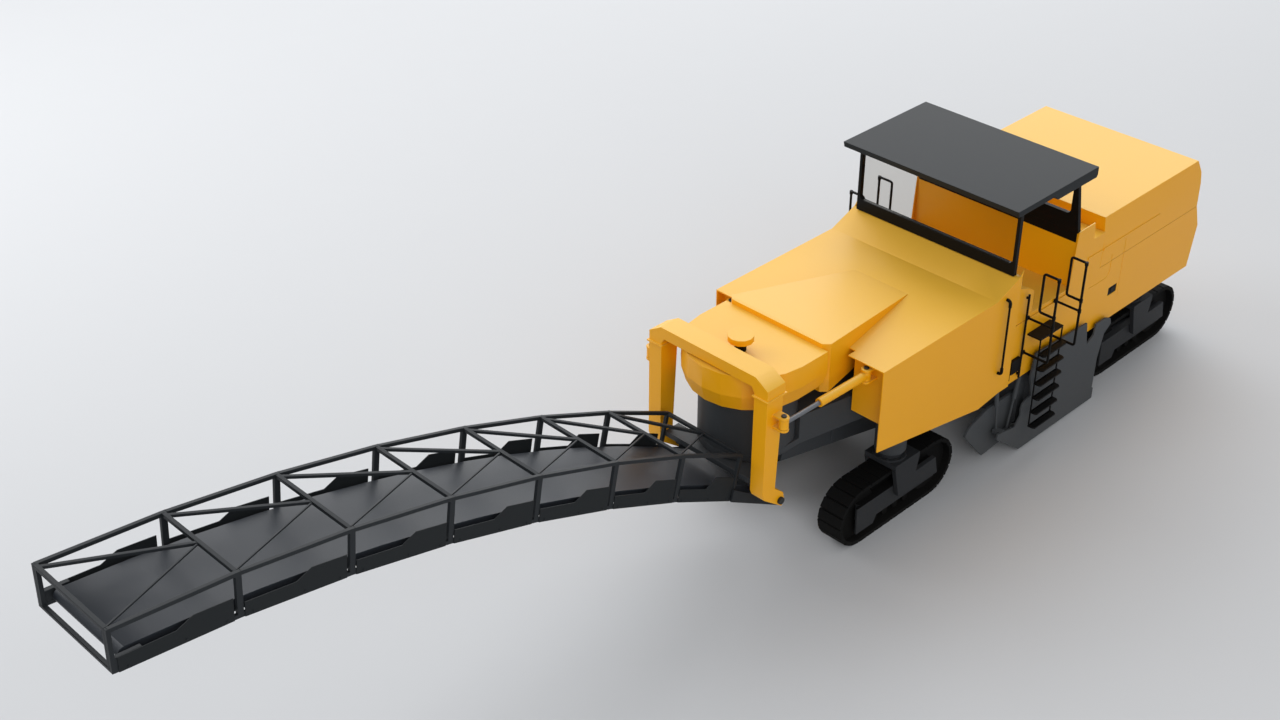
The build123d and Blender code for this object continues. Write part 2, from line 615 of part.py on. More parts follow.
# Belt wrapped round the tail and tip rollers, over its slider bed
def belt():
    n = 2 * BAYS
    s0, s1, w = -0.85, BAYS - 0.12, BELT_HALF
    h0, h1, t = ROLL_H - ROLL_R, ROLL_H + ROLL_R, BELT_T
    top = strip(s0, s1, h1 - t, h1, -w, w, n)
    low = strip(s0, s1, h0, h0 + t, -w, w, n)
    tip, tail = arc_pt(s1, ROLL_H), arc_pt(s0, ROLL_H)
    rolls = [flat_pin_y(x, z, ROLL_R, -w, w, 20) for x, z in (tip, tail)]
    inner = TRUSS_HALF - TUBE
    shafts = [flat_pin_y(*end, SHAFT_R, -y, y, 12) for end, y in ((tip, inner), (tail, TAIL_Y0))]
    bed = strip(s0, s1, h0 + t, h1 - t, -w + 20, w - 20, n)
    return fuse([top, low, bed] + rolls + shafts)


put("conveyor_belt", belt())
put("conveyor_skirts", Compound(children=conveyor_skirts()))


# Portal yoke: cranked beam, tapered legs and the rearward foot ears
def swing_ears(sgn):
    # Two round-ended plates and the pin heads that the cylinder's eye sits between.
    bits = []
    y, y2 = sgn * EYE_Y, sgn * (YOKE_Y1 - 5)
    for za in (EYE_Z - EAR_GAP - EAR_T, EYE_Z + EAR_GAP):
        ear = box(EYE_X - EAR_R, EYE_X + EAR_R, *sorted((y2, y)), za, za + EAR_T)
        bits.append(ear + flat_pin_z(EYE_X, y, EAR_R, za, za + EAR_T))
    for za in (EYE_Z - EAR_GAP - EAR_T - PIN_HEAD, EYE_Z + EAR_GAP + EAR_T):
        bits.append(flat_pin_z(EYE_X, y, PIN_R, za, za + PIN_HEAD, 12))
    return bits


def portal():
    c, slant = YOKE_CORNER, YOKE_CORNER + 70
    zt, zb = YOKE_TOP, YOKE_TOP - YOKE_BEAM
    zk = zb - 90
    outer = [(-YOKE_Y1, zk), (-YOKE_Y1, zt - c), (-YOKE_Y1 + slant, zt),
             (YOKE_Y1 - slant, zt), (YOKE_Y1, zt - c), (YOKE_Y1, zk)]
    inner = [(YOKE_Y0, zk), (YOKE_Y0, zb - 60), (YOKE_Y0 - 40, zb), (-YOKE_Y0 + 40, zb),
             (-YOKE_Y0, zb - 60), (-YOKE_Y0, zk)]
    bits = [prism(outer + inner, "x", YOKE_X0 - 40, YOKE_X1)]
    px, pz = FOOT_PIN_X, FOOT_PIN_Z
    leg = [(YOKE_X0 - 20, zk), (YOKE_X1, zk), (YOKE_X1 + 5, pz + 197), (YOKE_X1 - 20, pz + 127),
           (px - 36, pz - 103), (px - 86, pz - 63), (px - 56, pz + 77), (YOKE_X0 + 45, pz + 197)]
    for sgn in (1, -1):
        y0, y1 = sorted((sgn * YOKE_Y0, sgn * YOKE_Y1))
        bits.append(prism(leg, "y", y0, y1))
        bits.append(box(YOKE_X0 - 60, YOKE_X1 + 20, y0 - 20, y1 + 20, zk - 20, zk))
        bits += swing_ears(sgn)
    bore = pin_y(FOOT_PIN_X, FOOT_PIN_Z, PIN_R + FIT, -YOKE_Y1 - 30, YOKE_Y1 + 30)
    return fuse(bits) - bore


def swing_bracket():
    z0, z1 = SPINE_Z0 - 80, TURRET_Z0 - 90
    ring = flat_pin_z(AXIS_X, 0, JOURNAL_R + 180, z0, z1, 24)
    arms = [box(YOKE_X0 - 50, YOKE_X0 + 170, -YOKE_Y0, YOKE_Y0, z0, z1),
            box(AXIS_X, YOKE_X0 + 20, -330, 330, z0, z1)]
    return fuse([ring] + arms) - pin_z(AXIS_X, 0, JOURNAL_R + FIT, z0 - 1, z1 + 1)


put("portal_yoke", portal())
put("swing_bracket", swing_bracket())


# Swing cylinders between the fender bulkheads and the portal
def cylinder(sgn):
    a = Vector(REAR_PIN_X, sgn * REAR_PIN_Y, EYE_Z)
    b = Vector(EYE_X, sgn * EYE_Y, EYE_Z)
    d = (b - a).normalized()
    h = EAR_GAP - 5
    hole = pin_z(a.X, a.Y, PIN_R + FIT, EYE_Z - h - 1, EYE_Z + h + 1)
    tube = flat_rod(a, a + d * BARREL_LEN, BARREL_R, 16)
    tube = tube - rod(a + d * 2 * EYE_R, a + d * (BARREL_LEN + 10), ROD_R + FIT)
    barrel = (flat_pin_z(a.X, a.Y, EYE_R, EYE_Z - h, EYE_Z + h) + tube) - hole
    head = flat_pin_z(b.X, b.Y, EYE_R, EYE_Z - h, EYE_Z + h)
    return barrel, rod(a + d * ROD_START, b, ROD_R) + head


def cylinder_bracket(sgn):
    bits = []
    y = sgn * REAR_PIN_Y
    for za in (EYE_Z - EAR_GAP - EAR_T, EYE_Z + EAR_GAP):
        bits.append(box(BULK_X - 1, REAR_PIN_X, y - EAR_R, y + EAR_R, za, za + EAR_T))
        bits.append(flat_pin_z(REAR_PIN_X, y, EAR_R, za, za + EAR_T))
    reach = EAR_GAP + EAR_T + PIN_HEAD
    bits.append(pin_z(REAR_PIN_X, y, PIN_R, EYE_Z - reach, EYE_Z + reach))
    return fuse(bits)


for side, sgn in (("left", 1), ("right", -1)):
    barrel, piston = cylinder(sgn)
    put("swing_barrel_" + side, barrel)
    put("swing_rod_" + side, piston)
    parts["fender_" + side] = parts["fender_" + side] + cylinder_bracket(sgn)


# Tracks: one closed loop of pads; each end turns over eight flats
def loop_outline(r):
    # Corner points of a loop of radius r, from the lower run's rear end forwards.
    points = []
    for x, start in ((TRACK_HALF_LEN, -90.0), (-TRACK_HALF_LEN, 90.0)):
        for k in range(END_PADS + 1):
            a = radians(start + 180.0 * k / END_PADS)
            points.append((x + r * cos(a), TRACK_R + r * sin(a)))
    return points


def pad_outline():
    # The loop's outer line with one raised pad on every flat and along both runs.
    corners = loop_outline(TRACK_R - PAD_H)
    points = []
    for i, (ax, az) in enumerate(corners):
        bx, bz = corners[(i + 1) % len(corners)]
        length = hypot(bx - ax, bz - az)
        pads = RUN_PADS if length > TRACK_HALF_LEN else 1
        ux, uz = (bx - ax) / length, (bz - az) / length
        for k in range(pads):
            s0 = k * length / pads + PAD_GAP / 2
            s1 = (k + 1) * length / pads - PAD_GAP / 2
            for s, h in ((s0, 0), (s0 + 2, PAD_H), (s1 - 2, PAD_H), (s1, 0)):
                points.append((ax + ux * s + uz * h, az + uz * s - ux * h))
    return points


def track_loop():
    w = TRACK_W / 2
    inner = prism(loop_outline(TRACK_R - PAD_H - LOOP_T), "y", -w - 1, w + 1)
    return prism(pad_outline(), "y", -w, w) - inner


# Track frame: end wheels and rollers on a beam, side panels, saddle and column
def leg(x, y, top):
    w = TRACK_W / 2
    inside = TRACK_R - PAD_H - LOOP_T
    half = WHEEL_W / 2
    bits = [flat_pin_y(wx, TRACK_R, inside - SEAM, -half, half, 2 * END_PADS)
            for wx in (TRACK_HALF_LEN, -TRACK_HALF_LEN)]
    floor, pitch = TRACK_R - inside + SEAM, 2 * TRACK_HALF_LEN / (ROLLERS + 3)
    for k in range(ROLLERS):
        rx = (k - (ROLLERS - 1) / 2) * pitch
        bits.append(flat_pin_y(rx, floor + ROLLER_R, ROLLER_R, -half, half, 10))
    web_z0 = floor + ROLLER_R
    web_x = (ROLLERS - 1) / 2 * pitch + ROLLER_R
    bits.append(box(-web_x, web_x, 40 - half, half - 40, web_z0, BEAM_Z1))
    bits.append(box(-TRACK_HALF_LEN, TRACK_HALF_LEN, 30 - w, w - 30, BEAM_Z0 + 40, BEAM_Z1 - 20))
    panel = [(TOE_X, BEAM_Z1 - 20), (TOE_X - 15, TOE_Z), (TOE_X - 330, TOE_Z),
             (TOE_X - 380, BEAM_Z0), (HEEL_X, BEAM_Z0), (HEEL_X + 70, BEAM_Z1 - 20)]
    bits += [prism(panel, "y", *pair) for pair in ((w - 31, w - 5), (5 - w, 31 - w))]
    out = w + SADDLE_PROUD
    saddle = [(SADDLE_X1, TOP_PLATE_Z0 + 1), (SADDLE_X1 - 100, BEAM_Z0 + 140),
              (HEEL_X + 30, BEAM_Z0 + 100), (HEEL_X + 90, BEAM_Z1 + 60),
              (SADDLE_X0 + 45, BEAM_Z1 + 55), (SADDLE_X0, TOP_PLATE_Z0 + 1)]
    bits += [prism(saddle, "y", *pair) for pair in ((w + 5, out), (-out, -5 - w))]
    seat = (HEEL_X + 120, SADDLE_X1 - 130)
    bits += [box(*seat, *pair, BEAM_Z0 + 160, BEAM_Z1 - 30)
             for pair in ((w - 10, w + 10), (-10 - w, 10 - w))]
    bits.append(box(SADDLE_X0, SADDLE_X1, -out, out, TOP_PLATE_Z0, TOP_PLATE_Z1))
    bits.append(flat_pin_z(0, 0, COLUMN_R + 50, TOP_PLATE_Z1, TOP_PLATE_Z1 + 22, 24))
    bits.append(flat_pin_z(0, 0, COLUMN_R, TOP_PLATE_Z1, top, 24))
    return Pos(x, y, 0) * fuse(bits)


for name, x, y in (("front_left", LEG_FRONT_X, LEG_Y), ("front_right", LEG_FRONT_X, -LEG_Y),
                   ("rear_left", LEG_REAR_X, LEG_Y), ("rear_right", LEG_REAR_X, -LEG_Y)):
    put("leg_" + name, leg(x, y, COLUMN_TOP))
    put("track_" + name, Pos(x, y, 0) * track_loop())


# Milling drum with a double helix of pick holders that meets at the middle
def milling_drum():
    reach = CHAMBER_HALF + CHAMBER_T - 5
    drum = flat_pin_y(DRUM_X, DRUM_Z, DRUM_R, -DRUM_HALF, DRUM_HALF, 36)
    drum = drum + pin_y(DRUM_X, DRUM_Z, STUB_R, -reach, reach)
    bits = []
    for k in range(PICKS):
        f = (k + 0.5) / PICKS
        y = (2 * f - 1) * (DRUM_HALF - PICK_W)
        a = abs(2 * f - 1) * 1440.0 + (0 if f < 0.5 else 60)
        pick = Box(PICK_L, PICK_W, CUT_R - DRUM_R + 20, align=(Align.CENTER, Align.CENTER, Align.MIN))
        bits.append(Pos(DRUM_X, y, DRUM_Z) * Rot(0, a, 0) * Pos(0, 0, DRUM_R - 20) * pick)
    return drum.fuse(*bits)


# Chamber over the drum, with the round-fronted shoes that run ahead of it
def chamber_shoe():
    # Cheek plate whose front corner is an arc over the long slope to its tip.
    x0, x1 = SHOE_X, DRUM_X + CHAMBER_LEN - 10
    z1, zk, zn = FRAME_Z0 - 330, 745, 600
    top = Polyline((x1, z1), (x0 - 400, z1), (x0 - 160, zk))
    nose = ThreePointArc((x0 - 160, zk), (x0 - 40, 690), (x0 + 20, zn))
    rest = Polyline((x0 + 20, zn), (x0 - 390, 125), (x0 - 790, 150), (x1, 350), (x1, z1))
    face = Face(Wire([e for part in (top, nose, rest) for e in part.edges()]))
    y = CHAMBER_HALF - SHOE_T
    return extrude(Pos(0, y, 0) * Rot(90, 0, 0) * face, SHOE_T, dir=(0, 1, 0))


def drum_chamber():
    y, out = CHAMBER_HALF, CHAMBER_HALF + CHAMBER_T
    r = CUT_R + CHAMBER_CLEAR
    x0, x1 = DRUM_X - CHAMBER_LEN, DRUM_X + CHAMBER_LEN
    outer = prism([(x0, 180), (x0, FRAME_Z0), (x1, FRAME_Z0), (x1, 330)], "y", -out, out)
    hollow = flat_pin_y(DRUM_X, DRUM_Z, r, -y, y, 32) + box(DRUM_X - r, DRUM_X + r, -y, y, 0, DRUM_Z)
    mouth = box(DRUM_X + 300, x1 + 60, -FEED_HALF - 10, FEED_HALF + 10, 300, 820)
    bore = pin_y(DRUM_X, DRUM_Z, STUB_R + FIT, -out - 1, out + 1)
    guides = [box(x, x + 120, *sorted((sgn * out, sgn * PLATE_Y)), 420, 1000)
              for x in (DRUM_X - 560, DRUM_X + 380) for sgn in (1, -1)]
    shoe = chamber_shoe()
    return fuse([outer - hollow - mouth - bore, shoe, mirror_y(shoe)] + guides)


put("milling_drum", milling_drum())
put("drum_chamber", drum_chamber())


# Side plates riding on the ground beside the drum, each hung on two lift cylinders
LIFTS = (((-2550, 480), STATION_FRONT + 138), ((-2790, 365), DROP_REAR - 62))


def side_plate():
    pts = [(-2947, 27), (-4603, PLATE_Z0), (-4600, 178), (-4570, 200), (-4576, 651),
           (-4656, 994), (-4790, 1090), (-4760, 1180), (-4640, 1235), (-4420, 1235),
           (-4394, 1086), (-4252, 1006), (-4184, 1359), (-3056, 1416), (-3000, 1100),
           (-3075, 790), (-2975, 772), (-2905, 735), (-2884, 670), (-2892, 565),
           (-2796, 440), (-2433, 509), (-2420, 430)]
    bits = [prism(pts, "y", PLATE_Y, PLATE_Y + PLATE_T)]
    for (fx, fz), top_x in LIFTS:
        bits.append(box(fx - 45, fx + 45, LIFT_Y - 25, PLATE_Y + 5, fz - 45, fz + 10))
        foot, top = Vector(fx, LIFT_Y, fz), Vector(top_x, LIFT_Y, LIFT_TOP_Z)
        bits.append(flat_rod(foot, top, LIFT_ROD_R, 8))
        bits.append(flat_rod(foot + (top - foot) * 0.45, top, LIFT_BARREL_R))
    # The barrels end flat under their lugs.
    far = 100.0
    return fuse(bits) - box(DROP_REAR - far, STATION_FRONT + 2 * far, LIFT_Y - far / 2,
                            LIFT_Y + far / 2, LIFT_TOP_Z - 50, LIFT_TOP_Z + far)


put("side_plates", both_sides(side_plate()))


# Lower conveyor: an open trough from the drum chamber up to the turret
def lower_conveyor():
    run = [(FEED_X0, FEED_Z0), (FEED_X1, FEED_Z1), (FEED_X1 - 50, FEED_Z1 + 180),
           (FEED_X0, FEED_Z0 + 260)]
    body = prism(run, "y", -FEED_HALF, FEED_HALF)
    inside = FEED_HALF - FEED_WALL
    trough = prism([(FEED_X0 - 1, FEED_Z0 + 150), (FEED_X1 + 50, FEED_Z1 + 100),
                    (FEED_X1 - 60, FEED_Z1 + 400), (FEED_X0 - 1, FEED_Z0 + 500)],
                   "y", -inside, inside)
    hangers = [box(x, x + 60, *sorted((sgn * FEED_HALF, sgn * (FEED_HALF + HANGER_T))), z, SPINE_Z0)
               for x, z in ((-300, 1080), (-2300, 600)) for sgn in (1, -1)]
    return fuse([body - trough] + hangers)


put("lower_conveyor", lower_conveyor())


# Ladders: a step beside the floor carries two thin stringers with six treads
def ladder():
    y0, y1 = LADDER_Y - 8, LADDER_Y + TREAD_DEPTH
    x0, x1 = LADDER_X0, LADDER_X1
    bits = [box(x0, x1, REAR_HALF, LADDER_Y + 8, LADDER_TOP - TREAD_T, LADDER_TOP)]
    for k in range(TREADS):
        z = LADDER_TOP - (k + 1) * TREAD_STEP
        tread = [(x0, y0), (x1, y0), (x1, y1 - 30), (x1 - 25, y1), (x0 + 25, y1), (x0, y1 - 30)]
        bits.append(prism(tread, "z", z - TREAD_T, z))
    low = LADDER_TOP - TREADS * TREAD_STEP
    for x in (x0 + 10, x1 - 10):
        bits.append(bar((x, LADDER_Y, low - TREAD_T), (x, LADDER_Y, LADDER_TOP), 16, 16))
    return fuse(bits)


# Hoop handrail: a post on two arms from the wall, with a loop on its upper half
def hoop(x):
    wall = REAR_HALF + RAIL_W / 2
    post = [(x, wall, HOOP_FOOT), (x, RAIL_Y1, HOOP_FOOT), (x, RAIL_Y1, HOOP_TOP),
            (x, RAIL_Y0, HOOP_TOP), (x, RAIL_Y0, HOOP_LOW), (x, RAIL_Y1, HOOP_LOW)]
    arm = [(x, wall, HOOP_RUNG), (x, RAIL_Y1, HOOP_RUNG)]
    return fuse(bar_path(post, RAIL_W) + bar_path(arm, RAIL_W))


# Upright grab bar on the fender, bent in to its feet
def grab_bar():
    x, y0, y1 = -2280.0, HALF_WIDTH, HALF_WIDTH + 60
    z0, z1, r = 1480.0, 2500.0, 13.0
    return fuse(bar_path([(x, y0 + r, z0), (x, y1, z0), (x, y1, z1), (x, y0 + r, z1)], 2 * r))


# Flat rail beside the entrance, with a closed box on the wall and its two thin legs
def side_rail():
    x, y0, y1 = -2762.0, REAR_HALF, REAR_HALF + 40
    rail = box(x - 14, x + 14, y1 - 10, y1, 1190, 2365)
    feet = [box(x - 14, x + 14, y0, y1 - 5, z, z + 28) for z in (1215, 2320)]
    casing = box(x + 12, x + 190, y0, y1, 1300, 1497)
    legs = [box(x + dx, x + dx + 14, y0, y0 + 14, 1195, 1301) for dx in (80, 136)]
    return fuse([rail, casing] + feet + legs)


put("ladders", both_sides(ladder()))
put("handrails", both_sides(*[hoop(x) for x in HOOPS], grab_bar(), side_rail()))

# The origin goes to the ground below the middle of the whole length.
ends = [shape.bounding_box() for shape in parts.values()]
SHIFT = -(min(b.min.X for b in ends) + max(b.max.X for b in ends)) / 2
print("shift", round(SHIFT, 3))
os.makedirs("parts", exist_ok=True)
for name, shape in parts.items():
    moved = [Pos(SHIFT, 0, 0) * solid for solid in shape.solids()]
    whole = Compound(children=moved) if len(moved) > 1 else moved[0]
    export_step(whole, os.path.join("parts", name + ".step"))
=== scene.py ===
import json
import math

import bmesh
import bpy
from mathutils import Matrix, Vector


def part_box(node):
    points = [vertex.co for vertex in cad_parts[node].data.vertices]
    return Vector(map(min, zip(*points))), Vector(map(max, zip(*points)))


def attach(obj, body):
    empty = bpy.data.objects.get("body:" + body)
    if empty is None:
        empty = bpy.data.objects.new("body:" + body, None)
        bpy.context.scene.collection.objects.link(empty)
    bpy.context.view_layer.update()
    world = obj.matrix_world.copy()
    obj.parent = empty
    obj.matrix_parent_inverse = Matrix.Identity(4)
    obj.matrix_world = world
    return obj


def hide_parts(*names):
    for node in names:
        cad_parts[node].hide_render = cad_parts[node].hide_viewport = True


# Cold planer on four steered tracks with an arched discharge conveyor, dressed
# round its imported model. Lengths are metres; +X is forward, +Y the left side.

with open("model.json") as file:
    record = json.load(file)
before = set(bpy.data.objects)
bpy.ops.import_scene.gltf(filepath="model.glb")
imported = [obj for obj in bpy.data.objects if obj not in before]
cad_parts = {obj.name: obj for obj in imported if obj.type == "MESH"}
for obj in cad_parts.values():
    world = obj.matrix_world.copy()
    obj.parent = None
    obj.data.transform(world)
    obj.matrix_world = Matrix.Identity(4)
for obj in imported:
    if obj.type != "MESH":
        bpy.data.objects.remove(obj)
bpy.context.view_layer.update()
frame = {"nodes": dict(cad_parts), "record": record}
nodes = frame["nodes"]
body_of = {node: body for body, members in frame["record"]["behaviour"]["bodies"].items()
           for node in members}


# Places read from the frame
def middle(node):
    low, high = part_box(node)
    return (low + high) / 2


FRONT_LEG_STATION = -0.780
ZERO_X = middle("track_front_left").x - FRONT_LEG_STATION
GROUND = 0.0


def at(x, y, z):
    # A point given by its station forward of the fenders' front faces.
    return Vector((x + ZERO_X, y, z))


def linear(red, green, blue, alpha=1.0):
    # Colour written as 0-255 display values, turned to the shader's linear light.
    def one(v):
        v /= 255
        return v / 12.92 if v <= 0.04045 else ((v + 0.055) / 1.055) ** 2.4
    return (one(red), one(green), one(blue), alpha)


# Node helpers, for shaders and for geometry
def add_node(tree, kind, **settings):
    node = tree.nodes.new(kind)
    for key, value in settings.items():
        setattr(node, key, value)
    return node


def wire(tree, node, **sources):
    # Socket names are written with underscores for spaces; i0, i1 and so on pick by index.
    for key, source in sources.items():
        name = key.replace("_", " ")
        socket = node.inputs[int(key[1:])] if key[0] == "i" and key[1:].isdigit() else node.inputs[name]
        if isinstance(source, bpy.types.NodeSocket):
            tree.links.new(source, socket)
        else:
            socket.default_value = source


def maths(tree, operation, a, b=0.0):
    node = add_node(tree, "ShaderNodeMath", operation=operation)
    wire(tree, node, i0=a, i1=b)
    return node.outputs[0]


def shader_group(name, inputs, outputs):
    tree = bpy.data.node_groups.new(name, "ShaderNodeTree")
    for label, kind, value in inputs:
        socket = tree.interface.new_socket(label, in_out="INPUT", socket_type=kind)
        if value is not None:
            socket.default_value = value
    for label, kind in outputs:
        tree.interface.new_socket(label, in_out="OUTPUT", socket_type=kind)
    return tree, tree.nodes.new("NodeGroupInput"), tree.nodes.new("NodeGroupOutput")


# Uneven tone of a sprayed or moulded surface, with fine grain for roughness and bump
def skin_group():
    tree, entry, out = shader_group("surface_skin", [
        ("Position", "NodeSocketVector", None), ("Colour", "NodeSocketColor", None),
        ("Tone Spread", "NodeSocketFloat", 0.04), ("Tone Size", "NodeSocketFloat", 1.4),
        ("Grain Size", "NodeSocketFloat", 60.0), ("Roughness", "NodeSocketFloat", 0.45),
        ("Roughness Spread", "NodeSocketFloat", 0.08)],
        [("Colour", "NodeSocketColor"), ("Roughness", "NodeSocketFloat"), ("Height", "NodeSocketFloat")])
    tone = add_node(tree, "ShaderNodeTexNoise")
    wire(tree, tone, Vector=entry.outputs["Position"], Scale=entry.outputs["Tone Size"], Detail=3.0)
    grain = add_node(tree, "ShaderNodeTexNoise")
    wire(tree, grain, Vector=entry.outputs["Position"], Scale=entry.outputs["Grain Size"], Detail=4.0)
    swing = maths(tree, "SUBTRACT", tone.outputs["Fac"], 0.5)
    value = maths(tree, "ADD", maths(tree, "MULTIPLY", swing, entry.outputs["Tone Spread"]), 1.0)
    hsv = add_node(tree, "ShaderNodeHueSaturation")
    wire(tree, hsv, Value=value, Color=entry.outputs["Colour"])
    tree.links.new(hsv.outputs["Color"], out.inputs["Colour"])
    rough = maths(tree, "SUBTRACT", grain.outputs["Fac"], 0.5)
    rough = maths(tree, "MULTIPLY", rough, entry.outputs["Roughness Spread"])
    tree.links.new(maths(tree, "ADD", rough, entry.outputs["Roughness"]), out.inputs["Roughness"])
    tree.links.new(grain.outputs["Fac"], out.inputs["Height"])
    return tree


# Dust that settles low on the machine, thinner with height and broken up by noise
def dust_group():
    tree, entry, out = shader_group("settled_dust", [
        ("Position", "NodeSocketVector", None), ("Top", "NodeSocketFloat", 1.2),
        ("Amount", "NodeSocketFloat", 0.2)], [("Mask", "NodeSocketFloat")])
    split = add_node(tree, "ShaderNodeSeparateXYZ")
    wire(tree, split, Vector=entry.outputs["Position"])
    low = add_node(tree, "ShaderNodeMapRange", interpolation_type="SMOOTHSTEP")
    wire(tree, low, Value=split.outputs["Z"], From_Min=entry.outputs["Top"], From_Max=0.0)
    cloud = add_node(tree, "ShaderNodeTexNoise")
    wire(tree, cloud, Vector=entry.outputs["Position"], Scale=5.0, Detail=6.0, Roughness=0.65)
    patch = maths(tree, "MULTIPLY", low.outputs["Result"], cloud.outputs["Fac"])
    tree.links.new(maths(tree, "MULTIPLY", patch, entry.outputs["Amount"]), out.inputs["Mask"])
    return tree


# Bright worn line along outside edges
def edge_group():
    tree, entry, out = shader_group("edge_wear", [
        ("Position", "NodeSocketVector", None), ("Width", "NodeSocketFloat", 0.006),
        ("Amount", "NodeSocketFloat", 0.5)], [("Mask", "NodeSocketFloat")])
    rounded = add_node(tree, "ShaderNodeBevel", samples=4)
    wire(tree, rounded, Radius=entry.outputs["Width"])
    flat = add_node(tree, "ShaderNodeNewGeometry")
    dot = add_node(tree, "ShaderNodeVectorMath", operation="DOT_PRODUCT")
    wire(tree, dot, i0=rounded.outputs["Normal"], i1=flat.outputs["Normal"])
    edge = add_node(tree, "ShaderNodeMapRange")
    wire(tree, edge, Value=dot.outputs["Value"], From_Min=0.97, From_Max=0.80)
    chips = add_node(tree, "ShaderNodeTexNoise")
    wire(tree, chips, Vector=entry.outputs["Position"], Scale=22.0, Detail=5.0)
    broken = add_node(tree, "ShaderNodeMapRange")
    wire(tree, broken, Value=chips.outputs["Fac"], From_Min=0.45, From_Max=0.62)
    worn = maths(tree, "MULTIPLY", edge.outputs["Result"], broken.outputs["Result"])
    tree.links.new(maths(tree, "MULTIPLY", worn, entry.outputs["Amount"]), out.inputs["Mask"])
    return tree


# Painted highlight: the share of a face that looks up, mixed towards a pale yellow to stand in for the
# brighter light on tops
def top_highlight_group():
    tree, entry, out = shader_group("painted_top_highlight", [("Amount", "NodeSocketFloat", 0.2)],
                                    [("Mask", "NodeSocketFloat")])
    face = add_node(tree, "ShaderNodeNewGeometry")
    split = add_node(tree, "ShaderNodeSeparateXYZ")
    wire(tree, split, Vector=face.outputs["Normal"])
    up = add_node(tree, "ShaderNodeMapRange", interpolation_type="SMOOTHSTEP")
    wire(tree, up, Value=split.outputs["Z"], From_Min=0.35, From_Max=0.95)
    tree.links.new(maths(tree, "MULTIPLY", up.outputs["Result"], entry.outputs["Amount"]),
                   out.inputs["Mask"])
    return tree


SKIN, DUST, EDGE, TOP_HIGHLIGHT = skin_group(), dust_group(), edge_group(), top_highlight_group()
DUST_COLOUR = linear(150, 142, 130)
# Pale yellow for the painted highlight on faces that look up
HIGHLIGHT_YELLOW = linear(176, 184, 102)
WEAR_WIDTH, WEAR_AMOUNT = 0.005, 0.45


def finish(name, colour, roughness, tone=0.05, grain=60.0, spread=0.08, bump=0.0004, metallic=0.0,
           dust=0.15, dust_top=1.2, wear=None, specular=0.5, top_highlight=0.0):
    # Colours are 0-255 display values; wear is the colour of worn edges, and the last value is the share of
    # painted highlight, a paler yellow mixed into faces that look up.
    material = bpy.data.materials.new(name)
    material.use_nodes = True
    tree = material.node_tree
    shader = tree.nodes["Principled BSDF"]
    place = add_node(tree, "ShaderNodeTexCoord").outputs["Object"]
    skin = add_node(tree, "ShaderNodeGroup", node_tree=SKIN)
    wire(tree, skin, Position=place, Colour=linear(*colour), Tone_Spread=tone, Grain_Size=grain,
         Roughness=roughness, Roughness_Spread=spread)
    colour_out, rough_out = skin.outputs["Colour"], skin.outputs["Roughness"]
    if wear is not None:
        edge = add_node(tree, "ShaderNodeGroup", node_tree=EDGE)
        wire(tree, edge, Position=place, Width=WEAR_WIDTH, Amount=WEAR_AMOUNT)
        mix = add_node(tree, "ShaderNodeMixRGB")
        wire(tree, mix, Fac=edge.outputs["Mask"], Color1=colour_out, Color2=linear(*wear))
        colour_out = mix.outputs["Color"]
    # Painted highlight: faces that look up are mixed towards a pale yellow, standing in for the brighter
    # light that falls on tops.
    if top_highlight > 0:
        highlighted = add_node(tree, "ShaderNodeGroup", node_tree=TOP_HIGHLIGHT)
        wire(tree, highlighted, Amount=top_highlight)
        mix = add_node(tree, "ShaderNodeMixRGB")
        wire(tree, mix, Fac=highlighted.outputs["Mask"], Color1=colour_out, Color2=HIGHLIGHT_YELLOW)
        colour_out = mix.outputs["Color"]
    dusty = add_node(tree, "ShaderNodeGroup", node_tree=DUST)
    wire(tree, dusty, Position=place, Top=dust_top, Amount=dust)
    mix = add_node(tree, "ShaderNodeMixRGB")
    wire(tree, mix, Fac=dusty.outputs["Mask"], Color1=colour_out, Color2=DUST_COLOUR)
    relief = add_node(tree, "ShaderNodeBump")
    wire(tree, relief, Height=skin.outputs["Height"], Distance=bump, Strength=1.0)
    wire(tree, shader, Base_Color=mix.outputs["Color"], Roughness=rough_out, Metallic=metallic,
         Normal=relief.outputs["Normal"], Specular_IOR_Level=specular)
    return material


# Clear pane: light passes straight through, and only the slanted look shows a sheen
def glass_finish():
    material = finish("station_glass", (120, 122, 122), 0.08, tone=0.01, spread=0.02, bump=0.0, dust=0.0)
    tree = material.node_tree
    clear = add_node(tree, "ShaderNodeBsdfTransparent")
    wire(tree, clear, Color=linear(239, 238, 236))
    sheen = add_node(tree, "ShaderNodeFresnel")
    wire(tree, sheen, IOR=1.15)
    mix = add_node(tree, "ShaderNodeMixShader")
    wire(tree, mix, i0=sheen.outputs["Fac"], i1=clear.outputs["BSDF"],
         i2=tree.nodes["Principled BSDF"].outputs["BSDF"])
    tree.links.new(mix.outputs["Shader"], tree.nodes["Material Output"].inputs["Surface"])
    return material


YELLOW = (248, 174, 6)
